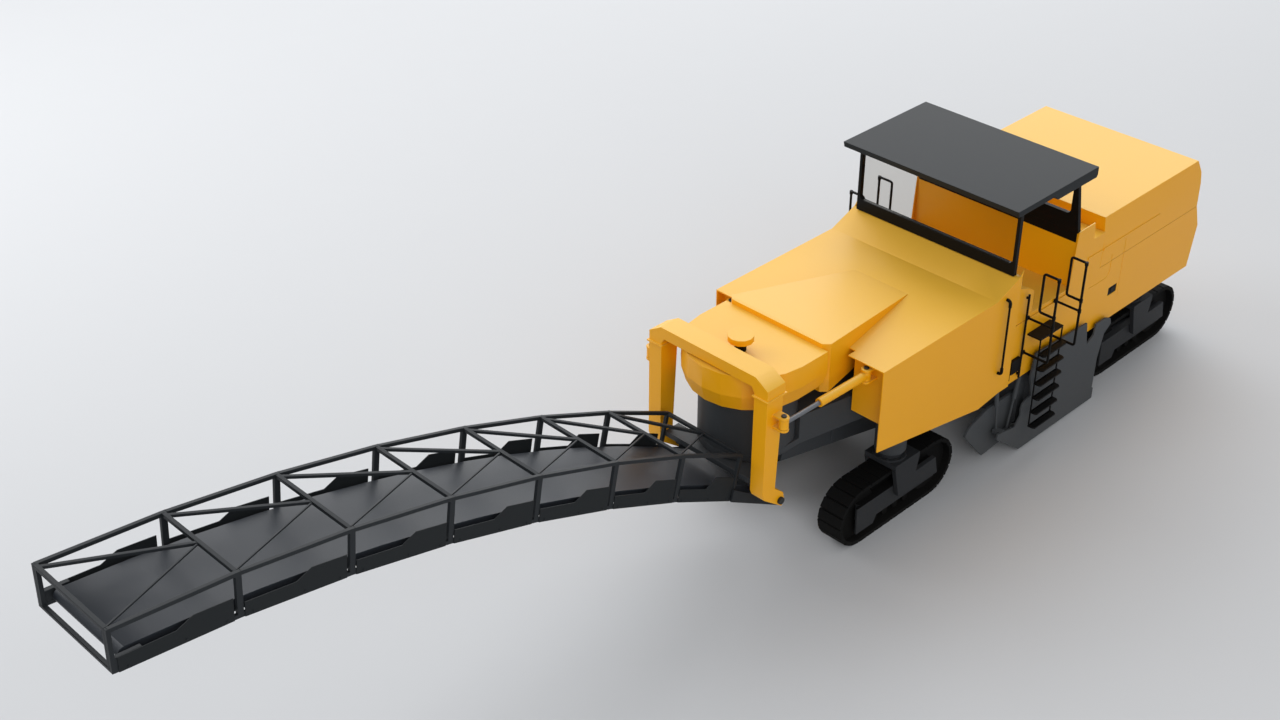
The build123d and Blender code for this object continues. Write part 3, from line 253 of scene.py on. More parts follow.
# The yellow enamel carries a painted highlight on its tops.
enamel = finish("yellow_enamel", YELLOW, 0.42, tone=0.03, dust=0.05, specular=0.4, top_highlight=0.30)
slate = finish("slate_enamel", (72, 75, 78), 0.50, tone=0.10, wear=(104, 107, 110), dust=0.08,
               specular=0.15)
dark_frame = finish("frame_grey_enamel", (58, 61, 64), 0.50, tone=0.10, dust=0.06, specular=0.25)
black = finish("black_enamel", (13, 13, 13), 0.45, tone=0.12, dust=0.0, specular=0.10)
charcoal = finish("canopy_charcoal", (31, 35, 38), 0.42, tone=0.06, dust=0.0, grain=220.0,
                  specular=0.10)
leg_paint = finish("leg_grey_enamel", (44, 46, 49), 0.55, tone=0.10, dust=0.05, specular=0.12)
truss_paint = finish("truss_slate_enamel", (40, 43, 46), 0.45, tone=0.10, dust=0.0, specular=0.12)
skirt_paint = finish("skirt_slate_enamel", (33, 36, 38), 0.50, tone=0.10, dust=0.0, specular=0.12)
pad_rubber = finish("track_pad_rubber", (19, 19, 19), 0.70, tone=0.30, grain=140.0, spread=0.2,
                    bump=0.0010, dust=0.02, dust_top=0.7, specular=0.05)
belt_rubber = finish("belt_rubber", (46, 50, 56), 0.42, tone=0.12, grain=90.0, spread=0.14,
                     bump=0.0005, dust=0.0, specular=0.22)
rod_grey = finish("rod_steel", (108, 111, 116), 0.34, metallic=0.25, tone=0.04, spread=0.06,
                  dust=0.0, specular=0.4)
dark_steel = finish("dark_pin_steel", (34, 35, 34), 0.38, tone=0.10, dust=0.0, specular=0.35)
drum_iron = finish("drum_steel", (72, 66, 60), 0.55, metallic=0.6, tone=0.35, grain=30.0, spread=0.3,
                   bump=0.002, dust=0.4, dust_top=1.3)
carbide = finish("pick_carbide", (120, 118, 114), 0.35, metallic=0.9, tone=0.2, dust=0.2)
engine_iron = finish("engine_iron", (70, 72, 74), 0.55, metallic=0.5, tone=0.2, dust=0.0)
glass = glass_finish()


# Mesh helpers
def link(obj):
    bpy.context.scene.collection.objects.link(obj)
    return obj


def seat(obj, body, material=None, stands_for=()):
    if material is not None:
        obj.data.materials.clear()
        obj.data.materials.append(material)
    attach(obj, body)
    if stands_for:
        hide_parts(*stands_for)
    return obj


def baked(obj):
    # Keeps what the modifiers make as the object's own plain mesh.
    graph = bpy.context.evaluated_depsgraph_get()
    mesh = bpy.data.meshes.new_from_object(obj.evaluated_get(graph), depsgraph=graph)
    old = obj.data
    obj.modifiers.clear()
    obj.data = mesh
    bpy.data.meshes.remove(old)
    return obj


def creased(obj, angle):
    for face in obj.data.polygons:
        face.use_smooth = True
    obj.data.set_sharp_from_angle(angle=math.radians(angle))
    return obj


BEVEL_ANGLE = math.radians(32)
# A bevel's own strips are narrower than this share of its width
STRIP_SHARE = 0.6


def rounded(obj, width, crease=14.0, flush=None):
    # Softens the sharp edges, apart from those that lie flush with a neighbour.
    if width <= 0:
        return creased(obj, crease)
    bm = bmesh.new()
    bm.from_mesh(obj.data)
    weight = bm.edges.layers.float.new("bevel_weight_edge")
    for edge in bm.edges:
        if len(edge.link_faces) == 2 and edge.calc_face_angle() > BEVEL_ANGLE:
            if flush is None or not all(flush(v.co) for v in edge.verts):
                edge[weight] = 1.0
    bm.to_mesh(obj.data)
    bm.free()
    bevel = obj.modifiers.new("edge", "BEVEL")
    bevel.width = width
    bevel.segments = 2
    bevel.limit_method = "WEIGHT"
    bevel.use_clamp_overlap = False
    baked(obj)
    bm = bmesh.new()
    bm.from_mesh(obj.data)
    for face in bm.faces:
        face.smooth = True
    # Only the broad faces, which are not part of a bevel, keep a crease between them
    broad = {face for face in bm.faces
             if face.calc_area() > STRIP_SHARE * width * face.calc_perimeter()}
    for edge in bm.edges:
        if len(edge.link_faces) == 2 and edge.calc_face_angle() > math.radians(crease):
            level = flush is not None and all(flush(v.co) for v in edge.verts)
            edge.smooth = not (level or all(face in broad for face in edge.link_faces))
    bm.to_mesh(obj.data)
    bm.free()
    even = obj.modifiers.new("even", "WEIGHTED_NORMAL")
    even.keep_sharp = True
    return baked(obj)


MERGE_DISTANCE, FLAT_ANGLE = 0.00005, math.radians(0.6)


def merged_copy(node):
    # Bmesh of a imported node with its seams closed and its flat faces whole.
    bm = bmesh.new()
    bm.from_mesh(nodes[node].data)
    bmesh.ops.remove_doubles(bm, verts=bm.verts, dist=MERGE_DISTANCE)
    bmesh.ops.dissolve_limit(bm, angle_limit=FLAT_ANGLE, verts=bm.verts, edges=bm.edges)
    return bm


def from_bmesh(name, bm):
    mesh = bpy.data.meshes.new(name)
    bm.to_mesh(mesh)
    bm.free()
    return link(bpy.data.objects.new(name, mesh))


def carve(obj, cutters):
    # Cuts grooves and recesses into a copy, then drops the cutter.
    knife = link(bpy.data.objects.new(obj.name + "_knife", cutters))
    cut = obj.modifiers.new("cut", "BOOLEAN")
    cut.operation, cut.solver, cut.object = "DIFFERENCE", "EXACT", knife
    bpy.context.view_layer.update()
    baked(obj)
    bpy.data.objects.remove(knife)
    bpy.data.meshes.remove(cutters)


def dressed(node, material, width, crease=14.0, cutters=None, flush=None):
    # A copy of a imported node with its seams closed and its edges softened.
    obj = from_bmesh(node + "_shell", merged_copy(node))
    if cutters is not None:
        carve(obj, cutters)
    rounded(obj, width, crease, flush=flush)
    return seat(obj, body_of[node], material, (node,))


# Solid pieces drawn from stations
def prism_mesh(name, outlines, spans, axis="y"):
    # Each outline is pushed along the axis over its span; x is a station.
    bm = bmesh.new()
    for outline, (a, b) in zip(outlines, spans):
        rings = []
        for depth in (a, b):
            if axis == "y":
                ring = [bm.verts.new(at(u, depth, v)) for u, v in outline]
            elif axis == "z":
                ring = [bm.verts.new(at(u, v, depth)) for u, v in outline]
            else:
                ring = [bm.verts.new(at(depth, u, v)) for u, v in outline]
            rings.append(ring)
        n = len(outline)
        bm.faces.new(rings[0])
        bm.faces.new(rings[1])
        for k in range(n):
            bm.faces.new((rings[0][k], rings[0][(k + 1) % n], rings[1][(k + 1) % n], rings[1][k]))
    bmesh.ops.recalc_face_normals(bm, faces=bm.faces)
    mesh = bpy.data.meshes.new(name)
    bm.to_mesh(mesh)
    bm.free()
    return mesh


CORNER_STEPS, ROUND_SIDES = 5, 28


def rectangle(u0, u1, v0, v1, corner=0.0):
    # Outline of a plate, its corners rounded in short steps.
    if corner <= 0:
        return [(u0, v0), (u1, v0), (u1, v1), (u0, v1)]
    centres = ((u1 - corner, v0 + corner, -90), (u1 - corner, v1 - corner, 0),
               (u0 + corner, v1 - corner, 90), (u0 + corner, v0 + corner, 180))
    return [(u + corner * math.cos(math.radians(a + 90 * k / CORNER_STEPS)),
             v + corner * math.sin(math.radians(a + 90 * k / CORNER_STEPS)))
            for u, v, a in centres for k in range(CORNER_STEPS + 1)]


def ring(u, v, r):
    turns = [2 * math.pi * k / ROUND_SIDES for k in range(ROUND_SIDES)]
    return [(u + r * math.cos(a), v + r * math.sin(a)) for a in turns]


def piece(name, mesh, body, material, width=0.002, stands_for=(), crease=30.0):
    obj = link(bpy.data.objects.new(name, mesh))
    rounded(obj, width, crease)
    return seat(obj, body, material, stands_for)


def on_both_sides(outlines, span):
    # The same outlines on the left side and mirrored to the right.
    low, high = span
    return outlines * 2, [(low, high)] * len(outlines) + [(-high, -low)] * len(outlines)


# Geometry trees
def geometry_tree(name, inputs):
    tree = bpy.data.node_groups.new(name, "GeometryNodeTree")
    tree.interface.new_socket("Geometry", in_out="OUTPUT", socket_type="NodeSocketGeometry")
    tree.interface.new_socket("Geometry", in_out="INPUT", socket_type="NodeSocketGeometry")
    for label, kind, value in inputs + [("Finish", "NodeSocketMaterial", None)]:
        socket = tree.interface.new_socket(label, in_out="INPUT", socket_type=kind)
        if value is not None:
            socket.default_value = value
    return tree, tree.nodes.new("NodeGroupInput"), tree.nodes.new("NodeGroupOutput")


def close_tree(tree, entry, out, geometry):
    real = add_node(tree, "GeometryNodeRealizeInstances")
    paint = add_node(tree, "GeometryNodeSetMaterial")
    wire(tree, real, Geometry=geometry)
    wire(tree, paint, Geometry=real.outputs[0], Material=entry.outputs["Finish"])
    tree.links.new(paint.outputs[0], out.inputs[0])
    return tree


def grown(name, tree, mesh, **values):
    # Runs a tree over a mesh of points or lines and keeps the result as a plain mesh.
    holder = link(bpy.data.objects.new(name + "_seed", mesh))
    modifier = holder.modifiers.new("grow", "NODES")
    modifier.node_group = tree
    sockets = {s.name: s.identifier for s in tree.interface.items_tree if s.in_out == "INPUT"}
    for key, value in values.items():
        modifier[sockets[key.replace("_", " ")]] = value
    bpy.context.view_layer.update()
    graph = bpy.context.evaluated_depsgraph_get()
    result = bpy.data.meshes.new_from_object(holder.evaluated_get(graph), depsgraph=graph)
    bpy.data.objects.remove(holder)
    return link(bpy.data.objects.new(name, result))


def points_mesh(name, places, axes):
    # Loose points, each with the direction its copy looks along.
    mesh = bpy.data.meshes.new(name)
    mesh.from_pydata([tuple(p) for p in places], [], [])
    attribute = mesh.attributes.new("axis", "FLOAT_VECTOR", "POINT")
    attribute.data.foreach_set("vector", [c for a in axes for c in a])
    return mesh


def line_mesh(name, paths):
    # Open lines, one for each path of points.
    points, edges = [], []
    for path in paths:
        start = len(points)
        points += [tuple(p) for p in path]
        edges += [(start + i, start + i + 1) for i in range(len(path) - 1)]
    mesh = bpy.data.meshes.new(name)
    mesh.from_pydata(points, edges, [])
    return mesh


def along_axis(tree, entry, copy):
    # Places a copy on every point, turned to the point's own axis.
    axis = add_node(tree, "GeometryNodeInputNamedAttribute", data_type="FLOAT_VECTOR")
    wire(tree, axis, Name="axis")
    turn = add_node(tree, "FunctionNodeAlignRotationToVector", axis="Z", pivot_axis="AUTO")
    wire(tree, turn, Vector=axis.outputs["Attribute"])
    put = add_node(tree, "GeometryNodeInstanceOnPoints")
    wire(tree, put, Points=entry.outputs["Geometry"], Instance=copy, Rotation=turn.outputs[0])
    return put.outputs[0]


def drum_shape(tree, sides, radius, height, lift=0.0):
    # Upright cylinder standing on its lower face.
    shape = add_node(tree, "GeometryNodeMeshCylinder", fill_type="NGON")
    wire(tree, shape, Vertices=sides, Radius=radius, Depth=height)
    half = maths(tree, "MULTIPLY", height, 0.5)
    move = add_node(tree, "GeometryNodeTransform")
    offset = add_node(tree, "ShaderNodeCombineXYZ")
    wire(tree, offset, Z=maths(tree, "ADD", half, lift))
    wire(tree, move, Geometry=shape.outputs["Mesh"], Translation=offset.outputs[0])
    return move.outputs[0]


def join(tree, *parts):
    node = add_node(tree, "GeometryNodeJoinGeometry")
    for part in parts:
        tree.links.new(part, node.inputs[0])
    return node.outputs[0]


# Hexagon bolt heads on washers
def bolt_tree():
    tree, entry, out = geometry_tree("bolt_heads", [
        ("Head Radius", "NodeSocketFloat", 0.014), ("Head Height", "NodeSocketFloat", 0.010),
        ("Washer Radius", "NodeSocketFloat", 0.018), ("Washer Height", "NodeSocketFloat", 0.003)])
    washer = drum_shape(tree, 14, entry.outputs["Washer Radius"], entry.outputs["Washer Height"])
    head = drum_shape(tree, 6, entry.outputs["Head Radius"], entry.outputs["Head Height"],
                      entry.outputs["Washer Height"])
    return close_tree(tree, entry, out, along_axis(tree, entry, join(tree, washer, head)))


# Round rollers with a shaft stub at each end
def roller_tree():
    tree, entry, out = geometry_tree("rollers", [
        ("Radius", "NodeSocketFloat", 0.05), ("Length", "NodeSocketFloat", 0.9),
        ("Shaft Radius", "NodeSocketFloat", 0.015), ("Shaft Length", "NodeSocketFloat", 1.0)])
    pieces = []
    for radius, length in (("Radius", "Length"), ("Shaft Radius", "Shaft Length")):
        half = maths(tree, "MULTIPLY", entry.outputs[length], -0.5)
        pieces.append(drum_shape(tree, 20, entry.outputs[radius], entry.outputs[length], half))
    return close_tree(tree, entry, out, along_axis(tree, entry, join(tree, *pieces)))


# Round tube along bent lines
def tube_tree():
    tree, entry, out = geometry_tree("bent_tube", [
        ("Radius", "NodeSocketFloat", 0.017), ("Bend", "NodeSocketFloat", 0.05)])
    curve = add_node(tree, "GeometryNodeMeshToCurve")
    wire(tree, curve, Mesh=entry.outputs["Geometry"])
    fillet = add_node(tree, "GeometryNodeFilletCurve", mode="POLY")
    wire(tree, fillet, Curve=curve.outputs[0], Count=5, Radius=entry.outputs["Bend"],
         Limit_Radius=True)
    ring = add_node(tree, "GeometryNodeCurvePrimitiveCircle")
    wire(tree, ring, Resolution=12, Radius=entry.outputs["Radius"])
    tube = add_node(tree, "GeometryNodeCurveToMesh")
    wire(tree, tube, Curve=fillet.outputs[0], Profile_Curve=ring.outputs[0], Fill_Caps=True)
    return close_tree(tree, entry, out, tube.outputs[0])


# Cutting picks: a collar, a tapered body and a hard tip, one behind the other
def pick_tree():
    tree, entry, out = geometry_tree("cutting_picks", [
        ("Collar Radius", "NodeSocketFloat", 0.024), ("Collar Height", "NodeSocketFloat", 0.010),
        ("Body Radius", "NodeSocketFloat", 0.017), ("Tip Radius", "NodeSocketFloat", 0.006),
        ("Length", "NodeSocketFloat", 0.040)])
    collar = drum_shape(tree, 16, entry.outputs["Collar Radius"], entry.outputs["Collar Height"])
    cone = add_node(tree, "GeometryNodeMeshCone", fill_type="NGON")
    wire(tree, cone, Vertices=16, Radius_Bottom=entry.outputs["Body Radius"],
         Radius_Top=entry.outputs["Tip Radius"], Depth=entry.outputs["Length"])
    return close_tree(tree, entry, out, along_axis(tree, entry, join(tree, collar, cone.outputs["Mesh"])))


BOLTS, ROLLERS, TUBES, PICKS = bolt_tree(), roller_tree(), tube_tree(), pick_tree()


# Seams, grooves and latch recesses of the engine bay's sides, as cutters
WALL_Y = 1.220
GROOVE_DEPTH, RECESS_DEPTH, CUTTER_PROUD = 0.006, 0.012, 0.020
SEAM_X, SEAM_WIDTH, SEAM_Z0, SEAM_Z1 = -4.930, 0.007, 1.430, 2.270
GROOVE_X, GROOVE_END, GROOVE_Z, GROOVE_TOP = -4.647, -4.200, 1.828, 2.150
GROOVE_WIDTH, GROOVE_BEND = 0.014, 0.100
LATCH = (-4.890, -4.690, 1.510, 1.630)


def groove_bend(inset, angles):
    # Quarter turn at the groove's corner, its radius smaller by the inset.
    radius = GROOVE_BEND - inset
    return [(GROOVE_X + inset + radius - radius * math.cos(math.radians(a)),
             GROOVE_Z + inset + radius - radius * math.sin(math.radians(a))) for a in angles]


def bay_cutters(name):
    seam = rectangle(SEAM_X - SEAM_WIDTH / 2, SEAM_X + SEAM_WIDTH / 2, SEAM_Z0, SEAM_Z1)
    groove = [(GROOVE_X, GROOVE_TOP)] + groove_bend(0.0, range(0, 91, 15))
    groove += [(GROOVE_END, GROOVE_Z), (GROOVE_END, GROOVE_Z + GROOVE_WIDTH)]
    groove += groove_bend(GROOVE_WIDTH, range(90, -1, -15)) + [(GROOVE_X + GROOVE_WIDTH, GROOVE_TOP)]
    outlines, spans = on_both_sides([seam, groove], (WALL_Y - GROOVE_DEPTH, WALL_Y + CUTTER_PROUD))
    recess, deep = on_both_sides([rectangle(*LATCH, corner=0.012)],
                                 (WALL_Y - RECESS_DEPTH, WALL_Y + CUTTER_PROUD))
    return prism_mesh(name, outlines + recess, spans + deep)


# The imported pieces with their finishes; the last value rounds their edges
SHELLS = (
    # node, finish, slot, edge radius
    ("nose_hood", enamel, "yellow_paint", 0.003),
    ("turret_cap", enamel, "yellow_paint", 0.002),
    ("filler_cap", enamel, "yellow_paint", 0.003),
    ("operator_platform", enamel, "yellow_paint", 0.003),
    ("rear_bulkhead", enamel, "yellow_paint", 0.002),
    ("tail_panel", enamel, "yellow_paint", 0.003),
    ("portal_yoke", enamel, "yellow_paint", 0.005),
    ("swing_barrel_left", enamel, "yellow_paint", 0.003),
    ("swing_barrel_right", enamel, "yellow_paint", 0.003),
    ("canopy", charcoal, "charcoal_paint", 0.004),
    ("windscreen_frame", black, "black_paint", 0.004),
    ("rear_frame", black, "black_paint", 0.004),
    ("main_frame", dark_frame, "frame_grey", 0.006),
    ("turret_column", dark_frame, "frame_grey", 0.002),
    ("swing_bracket", dark_frame, "frame_grey", 0.004),
    ("drum_chamber", slate, "slate_paint", 0.005),
    ("side_plates", slate, "slate_paint", 0.004),
    ("lower_conveyor", dark_frame, "frame_grey", 0.003),
    ("truss_side_left", truss_paint, "charcoal_paint", 0.003),
    ("truss_side_right", truss_paint, "charcoal_paint", 0.003),
    ("truss_bracing", truss_paint, "charcoal_paint", 0.003),
    ("conveyor_skirts", skirt_paint, "charcoal_paint", 0.001),
    ("ladders", black, "black_paint", 0.003),
)
for node, material, slot, radius in SHELLS:
    dressed(node, material, radius)

# The deck's three pieces meet flush, so their common edges stay sharp
DECK_SEAM_Y, DECK_EDGE_Z = 0.745, 2.500


def on_deck_seam(co):
    return abs(abs(co.y) - DECK_SEAM_Y) < 0.001 and co.z > DECK_EDGE_Z


for node in ("fender_left", "fender_right", "centre_deck"):
    dressed(node, enamel, 0.003, flush=on_deck_seam)
for node, radius in (("side_walls", 0.002), ("rear_hood", 0.006)):
    dressed(node, enamel, radius, cutters=bay_cutters(node + "_cutters"))
dressed("conveyor_belt", belt_rubber, 0.0, crease=25.0)
dressed("milling_drum", drum_iron, 0.003, crease=25.0)

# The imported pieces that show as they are
for node, material in (("windscreen_glass", glass), ("engine_block", engine_iron)):
    for holder in nodes[node].material_slots:
        holder.material = material


# Tracks: the painted leg is kept apart from the black wheels between its panels
WHEEL_HALF, WHEEL_TOP = 0.076, 0.74
LEGS = tuple((side, middle("track_" + side)) for side in
             ("front_left", "front_right", "rear_left", "rear_right"))
for side, centre in LEGS:
    leg_node, track_node = "leg_" + side, "track_" + side
    for name, wheels in (("_shell", False), ("_wheels", True)):
        bm = merged_copy(leg_node)
        stray = [f for f in bm.faces
                 if (abs(f.calc_center_median().y - centre.y) < WHEEL_HALF
                     and f.calc_center_median().z < WHEEL_TOP) != wheels]
        bmesh.ops.delete(bm, geom=stray, context="FACES")
        obj = from_bmesh(leg_node + name, bm)
        rounded(obj, 0.0 if wheels else 0.004)
        seat(obj, body_of[leg_node],
             pad_rubber if wheels else leg_paint, (leg_node,))
    dressed(track_node, pad_rubber, 0.004)

# Moulding below the hood's shoulder, in one length on the wall and one on the hood
MOULD_Z0, MOULD_Z1, MOULD_OUT = 2.290, 2.325, 0.010
for name, node, x0, x1, tip in (("wall_mouldings", "side_walls", -4.372, -4.060, 0.0),
                                ("hood_mouldings", "rear_hood", -5.700, -4.402, 0.030)):
    strip = [(x0, MOULD_Z0 + tip), (x0 + tip, MOULD_Z0), (x1, MOULD_Z0), (x1, MOULD_Z1), (x0, MOULD_Z1)]
    outlines, spans = on_both_sides([strip], (WALL_Y - 0.001, WALL_Y + MOULD_OUT))
    piece(name, prism_mesh(name, outlines, spans), body_of[node], enamel, 0.004)

# Latches sunk in the bay's sides, each a black pan with its paddle
PAN_GAP, PAN_BACK, PAN_FACE = 0.002, 0.0118, 0.006
PADDLE_SIDE, PADDLE_END, PADDLE_RIM, PADDLE_BACK, PADDLE_PROUD = 0.030, 0.060, 0.025, 0.007, 0.001
x0, x1, z0, z1 = LATCH
pan = rectangle(x0 + PAN_GAP, x1 - PAN_GAP, z0 + PAN_GAP, z1 - PAN_GAP, 0.010)
outlines, spans = on_both_sides([pan], (WALL_Y - PAN_BACK, WALL_Y - PAN_FACE))
grip = rectangle(x0 + PADDLE_SIDE, x1 - PADDLE_END, z0 + PADDLE_RIM, z1 - PADDLE_RIM, 0.012)
paddle, reach = on_both_sides([grip], (WALL_Y - PADDLE_BACK, WALL_Y + PADDLE_PROUD))
piece("bay_latches", prism_mesh("bay_latches", outlines + paddle, spans + reach), "chassis",
      black)

# Black plate that carries the rear window's sill down over the bulkhead
SILL_HALF, SILL_Z0, SILL_Z1, SILL_SPAN = 1.190, 2.652, 2.782, (-3.7598, -3.7540)
sill = rectangle(-SILL_HALF, SILL_HALF, SILL_Z0, SILL_Z1)
piece("rear_sill_plate", prism_mesh("rear_sill_plate", [sill], [SILL_SPAN], "x"), "chassis",
      black)

# Neck under the filler cap
CAP, NECK_R, NECK_SPAN = middle("filler_cap"), 0.066, (2.7605, 2.8840)
neck = ring(CAP.x - ZERO_X, CAP.y, NECK_R)
piece("filler_neck", prism_mesh("filler_neck", [neck], [NECK_SPAN], "z"), body_of["filler_cap"],
      black)

# Rods and rod eyes of the swing cylinders
EYE_Z, REAR_PIN, FRONT_PIN = 2.400, Vector((0.0, 1.010)), Vector((1.340, 0.985))
ROD_R, ROD_START, EYE_R, EYE_HALF, EYE_OVERLAP = 0.027, 0.420, 0.055, 0.055, 0.004


def rod_mesh(name, start, end, radius):
    # Straight round bar between two points given by station.
    a, b = at(*start), at(*end)
    bm = bmesh.new()
    turn = (b - a).to_track_quat("Z", "Y").to_matrix().to_4x4()
    bmesh.ops.create_cone(bm, cap_ends=True, segments=ROUND_SIDES, radius1=radius, radius2=radius,
                          depth=(b - a).length, matrix=Matrix.Translation((a + b) / 2) @ turn)
    mesh = bpy.data.meshes.new(name)
    bm.to_mesh(mesh)
    bm.free()
    return mesh


for side, sign in (("left", 1), ("right", -1)):
    node, body = "swing_rod_" + side, "piston_" + side
    along = (FRONT_PIN - REAR_PIN).normalized()
    a, b = REAR_PIN + along * ROD_START, FRONT_PIN - along * (EYE_R - EYE_OVERLAP)
    bar = rod_mesh(node + "_bar", (a.x, sign * a.y, EYE_Z), (b.x, sign * b.y, EYE_Z), ROD_R)
    piece(node + "_bar", bar, body, rod_grey, 0.001, (node,))
    eye = [ring(FRONT_PIN.x, sign * FRONT_PIN.y, EYE_R)]
    piece(node + "_eye", prism_mesh(node + "_eye", eye, [(EYE_Z - EYE_HALF, EYE_Z + EYE_HALF)], "z"),
          body, enamel, 0.003, (node,))

# Dark heads on the cylinder pins, above and below their ears, and on the foot pins
HEAD_R, EAR_TOP, HEAD_H = 0.031, 0.088, 0.017
FOOT_PIN_X, FOOT_PIN_Z, FOOT_HEAD_R, FOOT_HEAD_SPAN = 1.206, 1.253, 0.044, (0.8755, 0.9120)
for name, body, spot in (("front_pin_heads", "portal", FRONT_PIN), ("rear_pin_heads", "chassis", REAR_PIN)):
    outlines = [ring(spot.x, sign * spot.y, HEAD_R) for sign in (1, -1, 1, -1)]
    spans = [(EYE_Z + EAR_TOP, EYE_Z + EAR_TOP + HEAD_H)] * 2
    spans += [(EYE_Z - EAR_TOP - HEAD_H, EYE_Z - EAR_TOP)] * 2
    piece(name, prism_mesh(name, outlines, spans, "z"), body, dark_steel, 0.004)
outlines, spans = on_both_sides([ring(FOOT_PIN_X, FOOT_PIN_Z, FOOT_HEAD_R)], FOOT_HEAD_SPAN)
piece("foot_pin_heads", prism_mesh("foot_pin_heads", outlines, spans), "conveyor",
      dark_steel, 0.005)

# Handrails: two hoops a side, a grab bar on the fender and a post with its casing
HOOPS = (-2.850, -3.420)
FOOT_Z, RUNG_Z, LOW_Z, TOP_Z = 1.500, 1.990, 2.134, 2.658
RAIL_IN, RAIL_OUT = 1.362, 1.568
RAIL_NODE = ("handrails",)
HOOP_START, TUBE_INSET, KNOB_DROP, SLEEVE_HALF = WALL_Y + 0.002, 0.004, 0.012, 0.024
GRAB_X, GRAB_Y, GRAB_Z0, GRAB_Z1 = -2.280, 1.305, 1.480, 2.500
GRAB_START, ELBOW_START, ELBOW_LENGTH = 1.252, 1.254, 0.085
POST_X, POST_Y, POST_Z0, POST_Z1 = -2.762, 1.254, 1.190, 2.365
CASING, CASING_DEEP = (-2.750, -2.572, 1.300, 1.497), 0.040
CASING_LEG, LEG_SIZE = (-2.600, 1.200, 1.302), 0.014
BRACKET_ZS, BRACKET_HALF, BRACKET_H = (1.225, 2.300), 0.012, 0.028

hoops, rungs, grabs, posts, sleeves, elbows, flanges, flange_axes = [], [], [], [], [], [], [], []
for sign in (1, -1):
    for x in HOOPS:
        hoops.append([at(x, sign * y, z) for y, z in (
            (HOOP_START, FOOT_Z), (RAIL_OUT, FOOT_Z), (RAIL_OUT, TOP_Z), (RAIL_IN, TOP_Z),
            (RAIL_IN, LOW_Z), (RAIL_OUT - TUBE_INSET, LOW_Z))])
        rungs.append([at(x, sign * HOOP_START, RUNG_Z), at(x, sign * (RAIL_OUT - TUBE_INSET), RUNG_Z)])
        for z in (TOP_Z - KNOB_DROP, LOW_Z, RUNG_Z):
            sleeves.append([at(x, sign * RAIL_OUT, z + end) for end in (-SLEEVE_HALF, SLEEVE_HALF)])
        flanges += [at(x, sign * WALL_Y, z) for z in (FOOT_Z, RUNG_Z)]
        flange_axes += [(0, sign, 0)] * 2
    grabs.append([at(GRAB_X, sign * y, z) for y, z in (
        (GRAB_START, GRAB_Z0), (GRAB_Y, GRAB_Z0), (GRAB_Y, GRAB_Z1), (GRAB_START, GRAB_Z1))])
    for z, step in ((GRAB_Z0, ELBOW_LENGTH), (GRAB_Z1, -ELBOW_LENGTH)):
        elbows.append([at(GRAB_X, sign * ELBOW_START, z), at(GRAB_X, sign * GRAB_Y, z),
                       at(GRAB_X, sign * GRAB_Y, z + step)])
    posts.append([at(POST_X, sign * POST_Y, POST_Z0), at(POST_X, sign * POST_Y, POST_Z1)])


def tubes(name, paths, radius, bend=0.030):
    obj = grown(name, TUBES, line_mesh(name, paths), Radius=radius, Bend=bend, Finish=black)
    creased(obj, 35.0)
    return seat(obj, "chassis", None, RAIL_NODE)


tubes("hoop_rails", hoops, 0.0160)
tubes("hoop_rungs", rungs, 0.0150)
tubes("hoop_sleeves", sleeves, 0.0225)
tubes("grab_bars", grabs, 0.0135, 0.036)
tubes("grab_bar_elbows", elbows, 0.0200, 0.036)
tubes("rail_posts", posts, 0.0140)
casing, spans = on_both_sides([rectangle(*CASING, corner=0.012)], (WALL_Y, WALL_Y + CASING_DEEP))
x, z0, z1 = CASING_LEG
legs, reach = on_both_sides([rectangle(x, x + LEG_SIZE, z0, z1)], (WALL_Y, WALL_Y + LEG_SIZE))
brackets, hold = on_both_sides([rectangle(POST_X - BRACKET_HALF, POST_X + BRACKET_HALF, z, z + BRACKET_H)
                                for z in BRACKET_ZS], (WALL_Y, POST_Y))
piece("rail_casings", prism_mesh("rail_casings", casing + legs + brackets, spans + reach + hold),
      "chassis", black, 0.003, RAIL_NODE)


# Arc of the conveyor: a point at bay position s, h above the lower chord line
BAYS, ARC_R, ARC_A0, ARC_A1, LEAN, BAY_GROWTH = 7, 17.940, 29.2, 4.9, 0.5, 0.0885
CHORD_X0, CHORD_Z0 = 1.661, 1.320


def arc(s, h, y):
    t = s / BAYS * (1 - BAY_GROWTH + BAY_GROWTH * s / BAYS)
    a0, a = math.radians(ARC_A0), math.radians(ARC_A0 + (ARC_A1 - ARC_A0) * t)
    return at(CHORD_X0 + ARC_R * (math.sin(a0) - math.sin(a)) - h * math.sin(LEAN * a), y,
              CHORD_Z0 + ARC_R * (math.cos(a) - math.cos(a0)) + h * math.cos(LEAN * a))


def set_out(name, tree, places, axes, body, slot, material, crease=35.0, stands_for=(), **values):
    obj = grown(name, tree, points_mesh(name, places, axes), Finish=material, **values)
    creased(obj, crease)
    return seat(obj, body, None, stands_for)


# Picks on the drum's holders, leaning into the cut
DRUM_X, DRUM_Z, HOLDER_REACH, HOLDER_LEAN = -3.640, 0.530, 0.448, 50.0
PICK_COUNT, DRUM_HALF, HOLDER_W, HOLDER_L, TURN, SECOND_START = 48, 1.050, 0.044, 0.070, 1440.0, 60
places, axes = [], []
for k in range(PICK_COUNT):
    f = (k + 0.5) / PICK_COUNT
    y = (2 * f - 1) * (DRUM_HALF - HOLDER_W)
    angle = math.radians(abs(2 * f - 1) * TURN + (0 if f < 0.5 else SECOND_START))
    away = Vector((math.sin(angle), 0, math.cos(angle)))
    ahead = Vector((math.cos(angle), 0, -math.sin(angle)))
    places.append(at(DRUM_X, y, DRUM_Z) + away * HOLDER_REACH + ahead * (HOLDER_L / 2))
    axes.append(ahead * math.sin(math.radians(HOLDER_LEAN)) + away * math.cos(math.radians(HOLDER_LEAN)))
